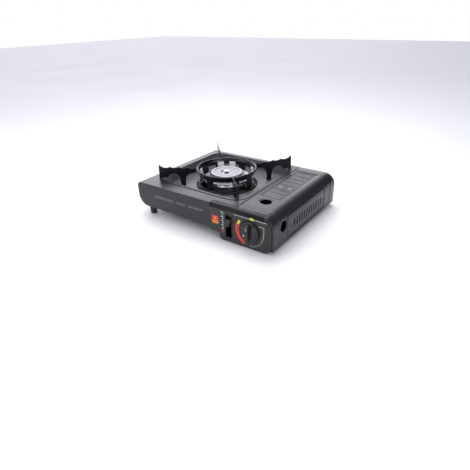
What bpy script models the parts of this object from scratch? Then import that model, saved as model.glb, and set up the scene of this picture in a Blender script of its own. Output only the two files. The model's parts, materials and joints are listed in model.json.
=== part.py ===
"""Portable single burner gas stove: a sheet-metal body with a burner well on the left, a cartridge
bay under a side-hinged lid on the right, and a control panel at the front right corner.

Everything is laid out about the middle of the body's footprint, with z = 0 on the table, and hangs
from the empty stove_centre, which brings the whole stove's bounding box over the world origin."""

from math import cos, pi, radians, sin

import bmesh
import bpy
from mathutils import Matrix, Vector

MM = 0.001
GAP = 0.3 * MM
SHEET = 0.7 * MM

# Body
WIDTH = 340 * MM
DEPTH = 270.4 * MM
TOP = 73 * MM
CASING_BOTTOM = 20.5 * MM
CASING_TOP_RADIUS = 9 * MM
CASING_BOTTOM_RADIUS = 25 * MM
SEAM_X = 84 * MM
TROUGH_LEFT = 61 * MM
TROUGH_RIGHT = 157 * MM
TROUGH_BOTTOM = 3 * MM
TROUGH_LIP = 12 * MM
LID_RADIUS = 25 * MM
LID_BOTTOM = 7 * MM
CAP_LENGTH = 21 * MM
PANEL_LEFT = 29 * MM
PANEL_RIGHT = 166.5 * MM
PANEL_BOTTOM = 2 * MM
PANEL_PROUD = 1.1 * MM
LIP_RIGHT = 149.5 * MM
LIP_BACK = 14 * MM

# Burner and pan, about the burner's axis
BURNER = Vector((-35.8 * MM, 9.5 * MM, 0))
RECESS_HALF = 107.9 * MM
RECESS_CORNER = 24 * MM
RECESS_FLOOR = 49.4 * MM
COLLAR_RADIUS = 67.6 * MM
COLLAR_TOP = 88 * MM
ARM_TIP = (145.5 * MM, 102.8 * MM)
WINDOWS = (53.5 * MM, 74.5 * MM)
CAP_RADIUS = 35.3 * MM
CAP_TOP = 78 * MM

# Controls
KNOB = Vector((122 * MM, 0, 37.5 * MM))
KNOB_RADIUS = 21 * MM
KNOB_PROUD = 16 * MM
LEVER_X = 75 * MM
LEVER_TOP = 50 * MM
SLOT = (67 * MM, 81 * MM, 11 * MM, 58 * MM)
HINGE = Vector((165 * MM, 0, 11 * MM))
VENT_COUNT = 12
VENT_PITCH = 10.7 * MM
VENT_START = -54.5 * MM
VENT_WIDTH = 3.8 * MM
VENT_Z = (28.4 * MM, 43.2 * MM)
VENT_HOLES = (-67 * MM, 75 * MM, 33 * MM)
FINGER_HOLE = (117 * MM, -73 * MM, 11.5 * MM)
SIDE_HOLE = (-95.6 * MM, 44.4 * MM, 11 * MM)
CRANK = Vector((73.2 * MM, -108 * MM, 34 * MM))

FRONT = -DEPTH / 2
BACK = DEPTH / 2
LEFT = -WIDTH / 2
RIGHT = WIDTH / 2
PANEL_FACE = FRONT - PANEL_PROUD


def clear_scene():
    for obj in list(bpy.data.objects):
        bpy.data.objects.remove(obj, do_unlink=True)


def material(name, color, roughness, metallic):
    mat = bpy.data.materials.new(name)
    mat.use_nodes = True
    shader = mat.node_tree.nodes["Principled BSDF"]
    shader.inputs["Base Color"].default_value = (*color, 1)
    shader.inputs["Roughness"].default_value = roughness
    shader.inputs["Metallic"].default_value = metallic
    return mat


def empty(name, location, parent=None):
    obj = bpy.data.objects.new(name, None)
    bpy.context.scene.collection.objects.link(obj)
    obj.location = location
    obj.parent = parent
    return obj


def finish(name, bm, mat, pivot=None):
    """Turns bm, drawn about the body's middle, into an object whose origin is on its pivot."""
    bmesh.ops.remove_doubles(bm, verts=bm.verts, dist=1e-6)
    bmesh.ops.recalc_face_normals(bm, faces=bm.faces)
    mesh = bpy.data.meshes.new(name)
    bm.to_mesh(mesh)
    bm.free()
    mesh.shade_smooth()
    mesh.set_sharp_from_angle(angle=radians(35))
    obj = bpy.data.objects.new(name, mesh)
    bpy.context.scene.collection.objects.link(obj)
    if mat:
        mesh.materials.append(mat)
    obj.parent = pivot or stove_centre
    if pivot:
        mesh.transform(Matrix.Translation(-pivot.location))
    return obj


def combine(obj, operation, tools):
    """Cuts or joins each tool, which is then a hidden guide."""
    for tool in tools:
        tool.hide_render = True
        tool.display_type = "WIRE"
        modifier = obj.modifiers.new(tool.name, "BOOLEAN")
        modifier.operation = operation
        modifier.object = tool
        modifier.solver = "EXACT"
    return obj


def cut(obj, *tools):
    return combine(obj, "DIFFERENCE", tools)


def join(obj, *tools):
    return combine(obj, "UNION", tools)


# Outlines


def arc(centre, radius, start, end, steps=6):
    angles = [radians(start + (end - start) * i / steps) for i in range(steps + 1)]
    return [(centre[0] + radius * cos(a), centre[1] + radius * sin(a)) for a in angles]


def sheet_outline(path, thickness, side):
    """The closed outline of a bent sheet: the path, and the path moved over by its thickness."""
    points = [Vector(p) for p in path]
    moved = []
    for i, point in enumerate(points):
        before = (point - points[i - 1]).normalized() if i else None
        after = (points[i + 1] - point).normalized() if i + 1 < len(points) else None
        normals = [Vector((-d.y, d.x)) * side for d in (before, after) if d]
        normal = sum(normals, Vector((0, 0))).normalized()
        moved.append(point + normal * thickness / normal.dot(normals[0]))
    return [tuple(p) for p in points] + [tuple(p) for p in reversed(moved)]


def rounded_square(half, corner, z, steps=5):
    ring = []
    for quarter in range(4):
        turn = quarter * pi / 2
        middle = Vector((half - corner, half - corner))
        for i in range(steps):
            a = (i + 0.5) / steps * pi / 2
            x, y = middle.x + corner * cos(a), middle.y + corner * sin(a)
            ring.append(Vector((x * cos(turn) - y * sin(turn), x * sin(turn) + y * cos(turn), z)))
    return ring


# Solids


def prism(name, outline, low, high, mat=None, pivot=None, axis="Y"):
    """An outline in X and Z pushed along Y, in Y and Z along X, or in X and Y along Z."""
    place = {
        "X": lambda p, d: (d, p[0], p[1]),
        "Y": lambda p, d: (p[0], d, p[1]),
        "Z": lambda p, d: (p[0], p[1], d),
    }[axis]
    bm = bmesh.new()
    ends = [[bm.verts.new(place(p, d)) for p in outline] for d in (low, high)]
    bm.faces.new(ends[0])
    bm.faces.new(ends[1])
    for i in range(len(outline)):
        j = (i + 1) % len(outline)
        bm.faces.new((ends[0][i], ends[0][j], ends[1][j], ends[1][i]))
    return finish(name, bm, mat, pivot)


def block(name, low, high, mat=None, pivot=None):
    outline = [(low[0], low[1]), (high[0], low[1]), (high[0], high[1]), (low[0], high[1])]
    return prism(name, outline, low[2], high[2], mat, pivot, axis="Z")


def turned(name, profile, centre, mat=None, pivot=None, steps=32, direction=(0, 0, 1)):
    """A closed profile of (radius, height) points turned about an axis through centre."""
    bm = bmesh.new()
    verts = [bm.verts.new((r, 0, z)) for r, z in profile]
    edges = [bm.edges.new((verts[i - 1], verts[i])) for i in range(len(verts))]
    bmesh.ops.spin(
        bm, geom=verts + edges, axis=(0, 0, 1), cent=(0, 0, 0), steps=steps, angle=2 * pi
    )
    bmesh.ops.remove_doubles(bm, verts=bm.verts, dist=1e-6)
    bmesh.ops.dissolve_degenerate(bm, edges=bm.edges, dist=1e-6)
    turn = Vector((0, 0, 1)).rotation_difference(Vector(direction)).to_matrix().to_4x4()
    bm.transform(Matrix.Translation(centre) @ turn)
    return finish(name, bm, mat, pivot)


def rod(name, centre, radius, length, direction, mat=None, pivot=None, steps=20):
    """A round bar that starts at centre and runs along direction."""
    profile = [(0, 0), (radius, 0), (radius, length), (0, length)]
    return turned(name, profile, centre, mat, pivot, steps, direction)


def loft(name, rings, centre, mat, pivot=None):
    """Quads between neighbouring rings, and from the last ring back to the first."""
    bm = bmesh.new()
    rows = [[bm.verts.new(p + centre) for p in ring] for ring in rings]
    count = len(rows[0])
    for row, after in zip(rows, rows[1:] + rows[:1]):
        for i in range(count):
            j = (i + 1) % count
            bm.faces.new((row[i], row[j], after[j], after[i]))
    return finish(name, bm, mat, pivot)


def tube(name, points, radius, mat, pivot=None, resolution=2):
    """A round bar bent along a smooth curve through the points."""
    knots = [Vector(p) for p in points]
    path = []
    for i in range(len(knots) - 1):
        a, b = knots[i], knots[i + 1]
        into = (b - knots[max(i - 1, 0)]) / 2
        out = (knots[min(i + 2, len(knots) - 1)] - a) / 2
        for step in range(4):
            t = step / 4
            path.append(
                a * (2 * t**3 - 3 * t**2 + 1)
                + into * (t**3 - 2 * t**2 + t)
                + b * (3 * t**2 - 2 * t**3)
                + out * (t**3 - t**2)
            )
    path.append(knots[-1])
    curve = bpy.data.curves.new(name, "CURVE")
    curve.dimensions = "3D"
    curve.bevel_depth = radius
    curve.bevel_resolution = resolution
    curve.use_fill_caps = True
    spline = curve.splines.new("POLY")
    spline.points.add(len(path) - 1)
    for point, place in zip(spline.points, path):
        point.co = (*place, 1)
    obj = bpy.data.objects.new(name, curve)
    bpy.context.scene.collection.objects.link(obj)
    curve.materials.append(mat)
    obj.parent = pivot or stove_centre
    return obj


# The body


def lid_path(inset=0.0):
    centre = (RIGHT - LID_RADIUS, TOP - LID_RADIUS)
    edge = arc(centre, LID_RADIUS - inset, 90, 0, 8)
    return [(SEAM_X + GAP, TOP - inset)] + edge + [(RIGHT - inset, LID_BOTTOM)]


def casing_outline():
    """The burner half's outer outline from the seam, over the deck and round to the trough."""
    upper = (LEFT + CASING_TOP_RADIUS, TOP - CASING_TOP_RADIUS)
    lower = (LEFT + CASING_BOTTOM_RADIUS, CASING_BOTTOM + CASING_BOTTOM_RADIUS)
    path = [(SEAM_X - GAP, TOP)] + arc(upper, CASING_TOP_RADIUS, 90, 180, 5)
    path += arc(lower, CASING_BOTTOM_RADIUS, 180, 270, 6)
    return path + [(TROUGH_LEFT - GAP, CASING_BOTTOM)]


def make_body():
    ends = (FRONT + SHEET + GAP, BACK - SHEET - GAP)
    outline = sheet_outline(casing_outline(), SHEET, 1)
    casing = prism("casing", outline, *ends, PAINT)
    opening = [tuple(p.xy + BURNER.xy) for p in rounded_square(RECESS_HALF + 2 * MM, 26 * MM, 0)]
    lip_space = block(
        "lip_space",
        (PANEL_LEFT - 0.2 * MM, FRONT - 5 * MM, TOP - 12 * MM),
        (LIP_RIGHT + 0.5 * MM, FRONT + LIP_BACK + GAP, TOP + 5 * MM),
    )
    cut(casing, prism("pan_opening", opening, TOP - 6 * MM, TOP + 6 * MM, axis="Z"), lip_space)

    left = casing_outline()[1:-1]
    front = [(PANEL_LEFT - GAP, TOP)] + left + [(PANEL_LEFT - GAP, CASING_BOTTOM)]
    prism("front_plate", front, FRONT, FRONT + SHEET, PAINT)
    foot = [(TROUGH_LEFT, CASING_BOTTOM), (TROUGH_LEFT, TROUGH_BOTTOM), (SEAM_X, TROUGH_BOTTOM)]
    prism("back_plate", [(SEAM_X, TOP)] + left + foot, BACK - SHEET, BACK, PAINT)

    path = [
        (TROUGH_LEFT, CASING_BOTTOM + 2 * MM),
        (TROUGH_LEFT, TROUGH_BOTTOM),
        (TROUGH_RIGHT, TROUGH_BOTTOM),
        (TROUGH_RIGHT, TROUGH_LIP),
    ]
    prism("trough", sheet_outline(path, SHEET, 1), *ends, STEEL)

    # The fixed arch at each end of the lid: a rounded box, open below and towards the lid
    sill = TROUGH_LIP + GAP
    outer = lid_path() + [(TROUGH_RIGHT + GAP, LID_BOTTOM), (TROUGH_RIGHT + GAP, sill)]
    outer.append((SEAM_X + GAP, sill))
    inner = [(SEAM_X - 5 * MM, TOP - SHEET)] + lid_path(SHEET)[1:-1]
    inner += [(RIGHT - SHEET, LID_BOTTOM - 5 * MM), (SEAM_X - 5 * MM, LID_BOTTOM - 5 * MM)]
    for name, wall, mouth in (("front_cap", FRONT, 1), ("back_cap", BACK, -1)):
        far = wall + mouth * CAP_LENGTH
        start = wall + mouth * (SHEET + GAP if name == "front_cap" else 0)
        cap = prism(name, outer, *sorted((start, far)), PAINT)
        hollow = (start + mouth * SHEET, far + mouth * 5 * MM)
        cut(cap, prism(name + "_hollow", inner, *sorted(hollow)))
        if name == "front_cap":
            cut(cap, lip_space)
            cut(cap, rod("shaft_hole", KNOB + Vector((0, FRONT, 0)), 8 * MM, 10 * MM, (0, 1, 0)))

    for name, x, y, height, radius in (
        ("foot_front_left", -145, -120, CASING_BOTTOM, 7.5),
        ("foot_back_left", -145, 120, CASING_BOTTOM, 7.5),
        ("foot_front_right", 148, -115, TROUGH_BOTTOM, 7),
        ("foot_back_right", 148, 115, TROUGH_BOTTOM, 7),
    ):
        radius *= MM
        top = height - GAP
        profile = [(0, 0), (radius - 1 * MM, 0), (radius, 1 * MM), (radius * 0.9, top), (0, top)]
        turned(name, profile, Vector((x * MM, y * MM, 0)), RUBBER, steps=20)


# The lid and its hinge


def make_lid(hinge):
    length = DEPTH / 2 - CAP_LENGTH - 2 * GAP
    lid = prism("lid", sheet_outline(lid_path(), SHEET, -1), -length, length, PAINT, hinge)
    x, y, r = FINGER_HOLE
    finger = [(x + r * cos(a), y + r * sin(a)) for a in circle(20)]
    cut(lid, prism("finger_cut", finger, TOP - 5 * MM, TOP + 5 * MM, None, hinge, "Z"))
    low, high = RIGHT - 5 * MM, RIGHT + 5 * MM
    y, z, r = SIDE_HOLE
    grip = [(y + r * cos(a), z + r * sin(a)) for a in circle(20)]
    cut(lid, prism("side_cut", grip, low, high, None, hinge, "X"))
    for end, y in (("front", VENT_HOLES[0]), ("back", VENT_HOLES[1])):
        ring = [(y + 2 * MM * cos(a), VENT_HOLES[2] + 2 * MM * sin(a)) for a in circle(8)]
        cut(lid, prism("vent_hole_" + end, ring, low, high, None, hinge, "X"))
    r = VENT_WIDTH / 2
    for i in range(VENT_COUNT):
        y = VENT_START + VENT_PITCH * i
        slot = arc((y, VENT_Z[1]), r, 0, 180, 4) + arc((y, VENT_Z[0]), r, 180, 360, 4)
        cut(lid, prism(f"vent_{i}", slot, low, high, None, hinge, "X"))

    span = 2 * (length - 3 * MM)
    rod("hinge_rod", HINGE - Vector((0, span / 2, 0)), 1.5 * MM, span, (0, 1, 0), STEEL, steps=12)
    for end, sign in (("front", -1), ("back", 1)):
        middle = sign * 105 * MM
        edge = TROUGH_RIGHT + GAP
        nose = arc((HINGE.x, HINGE.z), 3.2 * MM, -90, 90, 8)
        nose += [(edge, HINGE.z + 3.2 * MM), (edge, HINGE.z - 3.2 * MM)]
        plates = (middle - 1 * MM, middle + 1 * MM)
        bracket = prism("hinge_bracket_" + end, nose, *plates, STEEL)
        start = HINGE + Vector((0, middle - 4 * MM, 0))
        cut(bracket, rod("bracket_bore_" + end, start, 1.8 * MM, 8 * MM, (0, 1, 0), steps=16))

        middle = sign * 96 * MM
        start = HINGE + Vector((0, middle - 5 * MM, 0))
        knuckle = rod("lid_knuckle_" + end, start, 3 * MM, 10 * MM, (0, 1, 0), STEEL, hinge)
        tab = block(
            "lid_tab_" + end,
            (HINGE.x + 1 * MM, middle - 5 * MM, HINGE.z),
            (RIGHT - SHEET - GAP, middle + 5 * MM, HINGE.z + 12 * MM),
            None,
            hinge,
        )
        bore = rod("knuckle_bore_" + end, start, 1.8 * MM, 30 * MM, (0, 1, 0), None, hinge, 16)
        bore.data.transform(Matrix.Translation((0, -10 * MM, 0)))
        cut(join(knuckle, tab), bore)


def circle(steps):
    return [2 * pi * i / steps for i in range(steps)]


# The pan, its collar and the arms that hold a pot


def make_pan(lift):
    floor = RECESS_FLOOR
    rim = TOP + GAP
    flange = RECESS_HALF + 6.6 * MM
    rings = [
        rounded_square(flange, 30 * MM, rim),
        rounded_square(flange, 30 * MM, rim + SHEET),
        rounded_square(RECESS_HALF, RECESS_CORNER, rim + SHEET),
        rounded_square(RECESS_HALF - 1 * MM, 23.5 * MM, rim - 0.6 * MM),
        rounded_square(RECESS_HALF - 3.5 * MM, 21 * MM, floor + 2 * MM),
        rounded_square(RECESS_HALF - 5.5 * MM, 20 * MM, floor),
        rounded_square(57 * MM, 57 * MM, floor),
        rounded_square(57 * MM, 57 * MM, floor - SHEET),
        rounded_square(RECESS_HALF - 5 * MM, 20 * MM, floor - SHEET),
        rounded_square(RECESS_HALF - 2.5 * MM, 22 * MM, floor + 1.6 * MM),
        rounded_square(RECESS_HALF + 0.2 * MM, 24.2 * MM, rim - 1 * MM),
        rounded_square(RECESS_HALF + 0.6 * MM, 24.6 * MM, rim),
    ]
    loft("pan", rings, BURNER, ENAMEL, lift)

    foot = floor + GAP
    radius = COLLAR_RADIUS
    profile = [
        (59.3 * MM, foot),
        (69.4 * MM, foot),
        (69.4 * MM, foot + 0.9 * MM),
        (60.6 * MM, foot + 1.3 * MM),
        (62.2 * MM, COLLAR_TOP - 8 * MM),
        (radius - 2.5 * MM, COLLAR_TOP - 4 * MM),
        (radius, COLLAR_TOP - 2 * MM),
        (radius - 0.4 * MM, COLLAR_TOP - 0.4 * MM),
        (radius - 2 * MM, COLLAR_TOP),
        (61.2 * MM, COLLAR_TOP - 7 * MM),
    ]
    collar = turned("collar", profile, BURNER, ENAMEL, lift, 48)
    windows = []
    for quarter in range(4):
        for middle, half in ((-62, 20.5), (-19, 10)):
            windows.append((90 * quarter + middle, half))
    for i, (middle, half) in enumerate(windows):
        inner = arc((BURNER.x, BURNER.y), 50 * MM, middle - half, middle + half, 4)
        outer = arc((BURNER.x, BURNER.y), 75 * MM, middle + half, middle - half, 4)
        window = prism(f"window_{i}", inner + outer, *WINDOWS, None, lift, "Z")
        cut(collar, window)

    for name, angle in (
        ("arm_front_right", -45),
        ("arm_back_right", 45),
        ("arm_back_left", 135),
        ("arm_front_left", 225),
    ):
        arm = prism(name, arm_outline(), -0.6 * MM, 0.6 * MM, ENAMEL)
        turn = Matrix.Rotation(radians(angle), 4, "Z")
        arm.data.transform(Matrix.Translation(BURNER - lift.location) @ turn)
        arm.parent = lift


def arm_outline():
    """One arm in (distance from the burner's axis, height): two feet, a window and a wavy top."""
    tip_r, tip_z = ARM_TIP
    inner = COLLAR_RADIUS + 0.6 * MM
    foot = RECESS_FLOOR + GAP
    rim = TOP + SHEET + 2 * GAP
    feet = [
        (inner, COLLAR_TOP - 8 * MM),
        (84 * MM, 79 * MM),
        (91 * MM, 71 * MM),
        (92 * MM, foot),
        (103 * MM, foot),
        (103.5 * MM, 62 * MM),
    ]
    window = arc((121 * MM, 69 * MM), 14 * MM, 170, 40, 5)
    outer = [
        (143.6 * MM, rim),
        (149 * MM, rim),
        (tip_r + 2.5 * MM, tip_z),
        (tip_r - 1.5 * MM, tip_z),
    ]
    shoulder = tip_r - 3 * MM
    waves, steps = 4, 20
    top = []
    for i in range(steps + 1):
        t = i / steps
        r = shoulder + (inner - shoulder) * t
        ripple = 1.3 * MM * cos(2 * pi * waves * t)
        top.append((r, 97.3 * MM - 7.8 * MM * t + ripple))
    return feet + window + outer + top


# Burner and gas path


def make_burner():
    base = [
        (0, 24 * MM),
        (30 * MM, 24 * MM),
        (30 * MM, 46 * MM),
        (35.7 * MM, 52 * MM),
        (35.7 * MM, 64 * MM),
        (32 * MM, 64 * MM),
        (27 * MM, 46 * MM),
        (27 * MM, 27 * MM),
        (0, 27 * MM),
    ]
    turned("burner_base", base, BURNER, CAST, steps=36)
    low = BURNER + Vector((-34 * MM, -9 * MM, CASING_BOTTOM + SHEET + GAP))
    high = BURNER + Vector((34 * MM, 9 * MM, 24 * MM - GAP))
    block("burner_bracket", low, high, STEEL)
    ring = [
        (31.5 * MM, 64.3 * MM),
        (36.5 * MM, 64.3 * MM),
        (34 * MM, 67 * MM),
        (34 * MM, 75 * MM),
        (30 * MM, 75 * MM),
    ]
    turned("burner_ring", ring, BURNER, BRASS, steps=36)
    r = CAP_RADIUS
    cap = [
        (4 * MM, 72 * MM),
        (14 * MM, 72 * MM),
        (20 * MM, 75.3 * MM),
        (r, 75.3 * MM),
        (r, CAP_TOP - 0.6 * MM),
        (r - 0.6 * MM, CAP_TOP),
        (r - 5 * MM, CAP_TOP),
        (r - 7 * MM, CAP_TOP - 1 * MM),
        (21 * MM, CAP_TOP - 1 * MM),
        (14 * MM, CAP_TOP - 4 * MM),
        (4 * MM, CAP_TOP - 4 * MM),
    ]
    turned("burner_cap", cap, BURNER, BRIGHT, steps=48)
    screw = [
        (0, 60 * MM),
        (3 * MM, 60 * MM),
        (3 * MM, CAP_TOP - 3.7 * MM),
        (6 * MM, CAP_TOP - 3.7 * MM),
        (5 * MM, CAP_TOP - 2 * MM),
        (0, CAP_TOP - 1.6 * MM),
    ]
    turned("cap_screw", screw, BURNER, BRIGHT, steps=12)
    bowl = [
        (36 * MM, 53 * MM),
        (46 * MM, 53.4 * MM),
        (49.6 * MM, 56 * MM),
        (50.6 * MM, 61 * MM),
        (52.2 * MM, 66 * MM),
        (51.4 * MM, 66.5 * MM),
        (49.8 * MM, 61.2 * MM),
        (48.9 * MM, 56.5 * MM),
        (45.8 * MM, 54.3 * MM),
        (36 * MM, 53.9 * MM),
    ]
    bowl = turned("drip_bowl", bowl, BURNER, BRIGHT, steps=40)
    electrode = BURNER + Vector((42 * cos(radians(20)) * MM, 42 * sin(radians(20)) * MM, 0))
    upright = electrode + Vector((0, 0, 46 * MM))
    cut(bowl, rod("electrode_cut", upright, 3.4 * MM, 15 * MM, (0, 0, 1), steps=16))
    rod("electrode_insulator", upright, 2.6 * MM, 20 * MM, (0, 0, 1), CERAMIC, steps=14)
    tip = electrode + Vector((0, 0, 66.3 * MM))
    inward = (BURNER - electrode).normalized()
    bend = [tip, tip + Vector((0, 0, 4 * MM)), tip + inward * 3 * MM + Vector((0, 0, 7 * MM))]
    tube("electrode_tip", bend, 0.8 * MM, STEEL)

    mouth = Vector((62 * MM, -84 * MM, 32 * MM))
    along = (Vector((BURNER.x, BURNER.y, mouth.z)) - mouth).normalized()
    reach = (BURNER.xy - mouth.xy).length - 30.4 * MM
    profile = [
        (7 * MM, 0),
        (9 * MM, 0),
        (8 * MM, 8 * MM),
        (8 * MM, reach),
        (6 * MM, reach),
        (6 * MM, 8 * MM),
    ]
    turned("mixing_tube", profile, mouth, CAST, steps=20, direction=along)
    nozzle = [
        (0, -10 * MM),
        (4 * MM, -10 * MM),
        (4 * MM, -4 * MM),
        (1.5 * MM, -0.5 * MM),
        (0, -0.5 * MM),
    ]
    turned("jet", nozzle, mouth, BRASS, steps=12, direction=along)
    inlet = mouth - along * 11.2 * MM
    outlet = KNOB + Vector((-17.4 * MM, -98 * MM, -5.5 * MM))
    route = [outlet, outlet - Vector((12 * MM, 0, 0)), inlet - along * 5 * MM, inlet]
    tube("gas_pipe", route, 2.5 * MM, BRASS)

    rest = TROUGH_BOTTOM + SHEET + GAP
    plate = [(0, 46 * MM), (0, 24 * MM), (70 * MM, 24 * MM), (86 * MM, rest), (112 * MM, rest)]
    prism("heat_plate", sheet_outline(plate, SHEET, 1), 20 * MM, 40 * MM, BRIGHT)
    shield = (SEAM_X, -80 * MM, 18 * MM), (SEAM_X + SHEET, 106 * MM, TOP - SHEET - GAP)
    block("heat_shield", *shield, STEEL)
    return electrode


# Controls


def make_controls(electrode, knob_axis, lever_axis, crank_axis, carriage_axis):
    outline = [
        (PANEL_LEFT, CASING_BOTTOM - 3 * MM),
        (PANEL_LEFT + 2 * MM, CASING_BOTTOM - 5 * MM),
        (49 * MM, CASING_BOTTOM - 5 * MM),
        (52 * MM, PANEL_BOTTOM + 4 * MM),
        (57 * MM, PANEL_BOTTOM),
    ]
    outline += arc((PANEL_RIGHT - 15 * MM, PANEL_BOTTOM + 15 * MM), 15 * MM, 270, 360, 5)
    outline += arc((RIGHT - LID_RADIUS, TOP - LID_RADIUS), 21.5 * MM, 0, 57, 5)
    outline += [(PANEL_LEFT, 66 * MM)]
    back = FRONT + SHEET
    panel = prism("control_panel", outline, PANEL_FACE, back, PANEL)
    lip = arc((PANEL_FACE + 9 * MM, TOP - 9 * MM), 9 * MM, 180, 90, 6)
    lip += [(FRONT + LIP_BACK, TOP), (FRONT + LIP_BACK, TOP - 2 * MM)]
    lip += arc((PANEL_FACE + 9 * MM, TOP - 9 * MM), 7 * MM, 90, 180, 6)
    join(panel, prism("panel_lip", lip, PANEL_LEFT, LIP_RIGHT, None, None, "X"))
    slot = (SLOT[0], FRONT - 9 * MM, SLOT[2]), (SLOT[1], FRONT + 9 * MM, SLOT[3])
    cut(panel, block("lever_slot", *slot))
    start = KNOB + Vector((0, FRONT - 9 * MM, 0))
    cut(panel, rod("panel_bore", start, 6 * MM, 20 * MM, (0, 1, 0)))

    face = PANEL_FACE - GAP
    tip = FRONT - KNOB_PROUD
    seat = KNOB + Vector((0, face, 0))
    r = KNOB_RADIUS
    skirt = [
        (3.4 * MM, 0),
        (r, 0),
        (r - 0.5 * MM, 5 * MM),
        (r - 3 * MM, 6.5 * MM),
        (3.4 * MM, 6.5 * MM),
    ]
    knob = turned("knob", skirt, seat, KNOB_BLACK, knob_axis, 40, (0, -1, 0))
    grip = arc((KNOB.x, KNOB.z + 12 * MM), 4.5 * MM, 0, 180, 5)
    grip += arc((KNOB.x, KNOB.z - 12 * MM), 4.5 * MM, 180, 360, 5)
    join(knob, prism("knob_grip", grip, tip, face - 5 * MM, None, knob_axis))
    shaft = KNOB + Vector((0, tip + 3 * MM, 0))
    bore = rod("knob_bore", shaft - Vector((0, 0.3 * MM, 0)), 3.4 * MM, 25 * MM, (0, 1, 0))
    bore.parent = knob_axis
    bore.data.transform(Matrix.Translation(-knob_axis.location))
    cut(knob, bore)
    length = -102 * MM - shaft.y
    rod("knob_shaft", shaft, 3 * MM, length, (0, 1, 0), STEEL, knob_axis, 16)

    plate = (SEAM_X + 2 * MM, -112 * MM, 8 * MM), (TROUGH_RIGHT - 1.5 * MM, -111 * MM, 66 * MM)
    plate = block("valve_plate", *plate, STEEL)
    cut(plate, rod("plate_bore", KNOB + Vector((0, -115 * MM, 0)), 6 * MM, 9 * MM, (0, 1, 0)))
    body = [
        (3.4 * MM, 0),
        (17 * MM, 0),
        (17 * MM, 16 * MM),
        (11 * MM, 20 * MM),
        (11 * MM, 25 * MM),
        (4 * MM, 25 * MM),
        (4 * MM, 19 * MM),
        (0, 19 * MM),
        (0, 10 * MM),
        (3.4 * MM, 10 * MM),
    ]
    front = KNOB + Vector((0, -110.7 * MM, 0))
    turned("regulator", body, front, CAST, steps=24, direction=(0, 1, 0))
    seal = [(2.2 * MM, 19.3 * MM), (3.7 * MM, 19.3 * MM), (3.7 * MM, 24 * MM), (2.2 * MM, 24 * MM)]
    turned("socket_seal", seal, front, RUBBER, steps=16, direction=(0, 1, 0))
    guide = [(-110.7 * MM, 65 * MM), (-84 * MM, 65 * MM), (-84 * MM, 59 * MM)]
    guide = sheet_outline(guide, SHEET, -1)
    prism("notch_guide", guide, 117 * MM, 127 * MM, STEEL, None, "X")

    low, high = (90 * MM, -130 * MM, 46 * MM), (104 * MM, -113 * MM, 60 * MM)
    block("piezo_igniter", low, high, KNOB_BLACK)
    route = [
        electrode + Vector((0, 0, 45.6 * MM)),
        electrode + Vector((2 * MM, -2 * MM, 38 * MM)),
        Vector((30, 8, 32)) * MM,
        Vector((58, -24, 36)) * MM,
        Vector((66, -62, 43)) * MM,
        Vector((68.5, -90, 44)) * MM,
        Vector((69.3, -107, 52)) * MM,
        Vector((80, -115, 64)) * MM,
        Vector((97, -121.5, 64.5)) * MM,
        Vector((97, -121.5, 60.9)) * MM,
    ]
    tube("ignition_wire", route, 1.2 * MM, WIRE)

    make_lock(lever_axis, crank_axis, carriage_axis)


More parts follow.
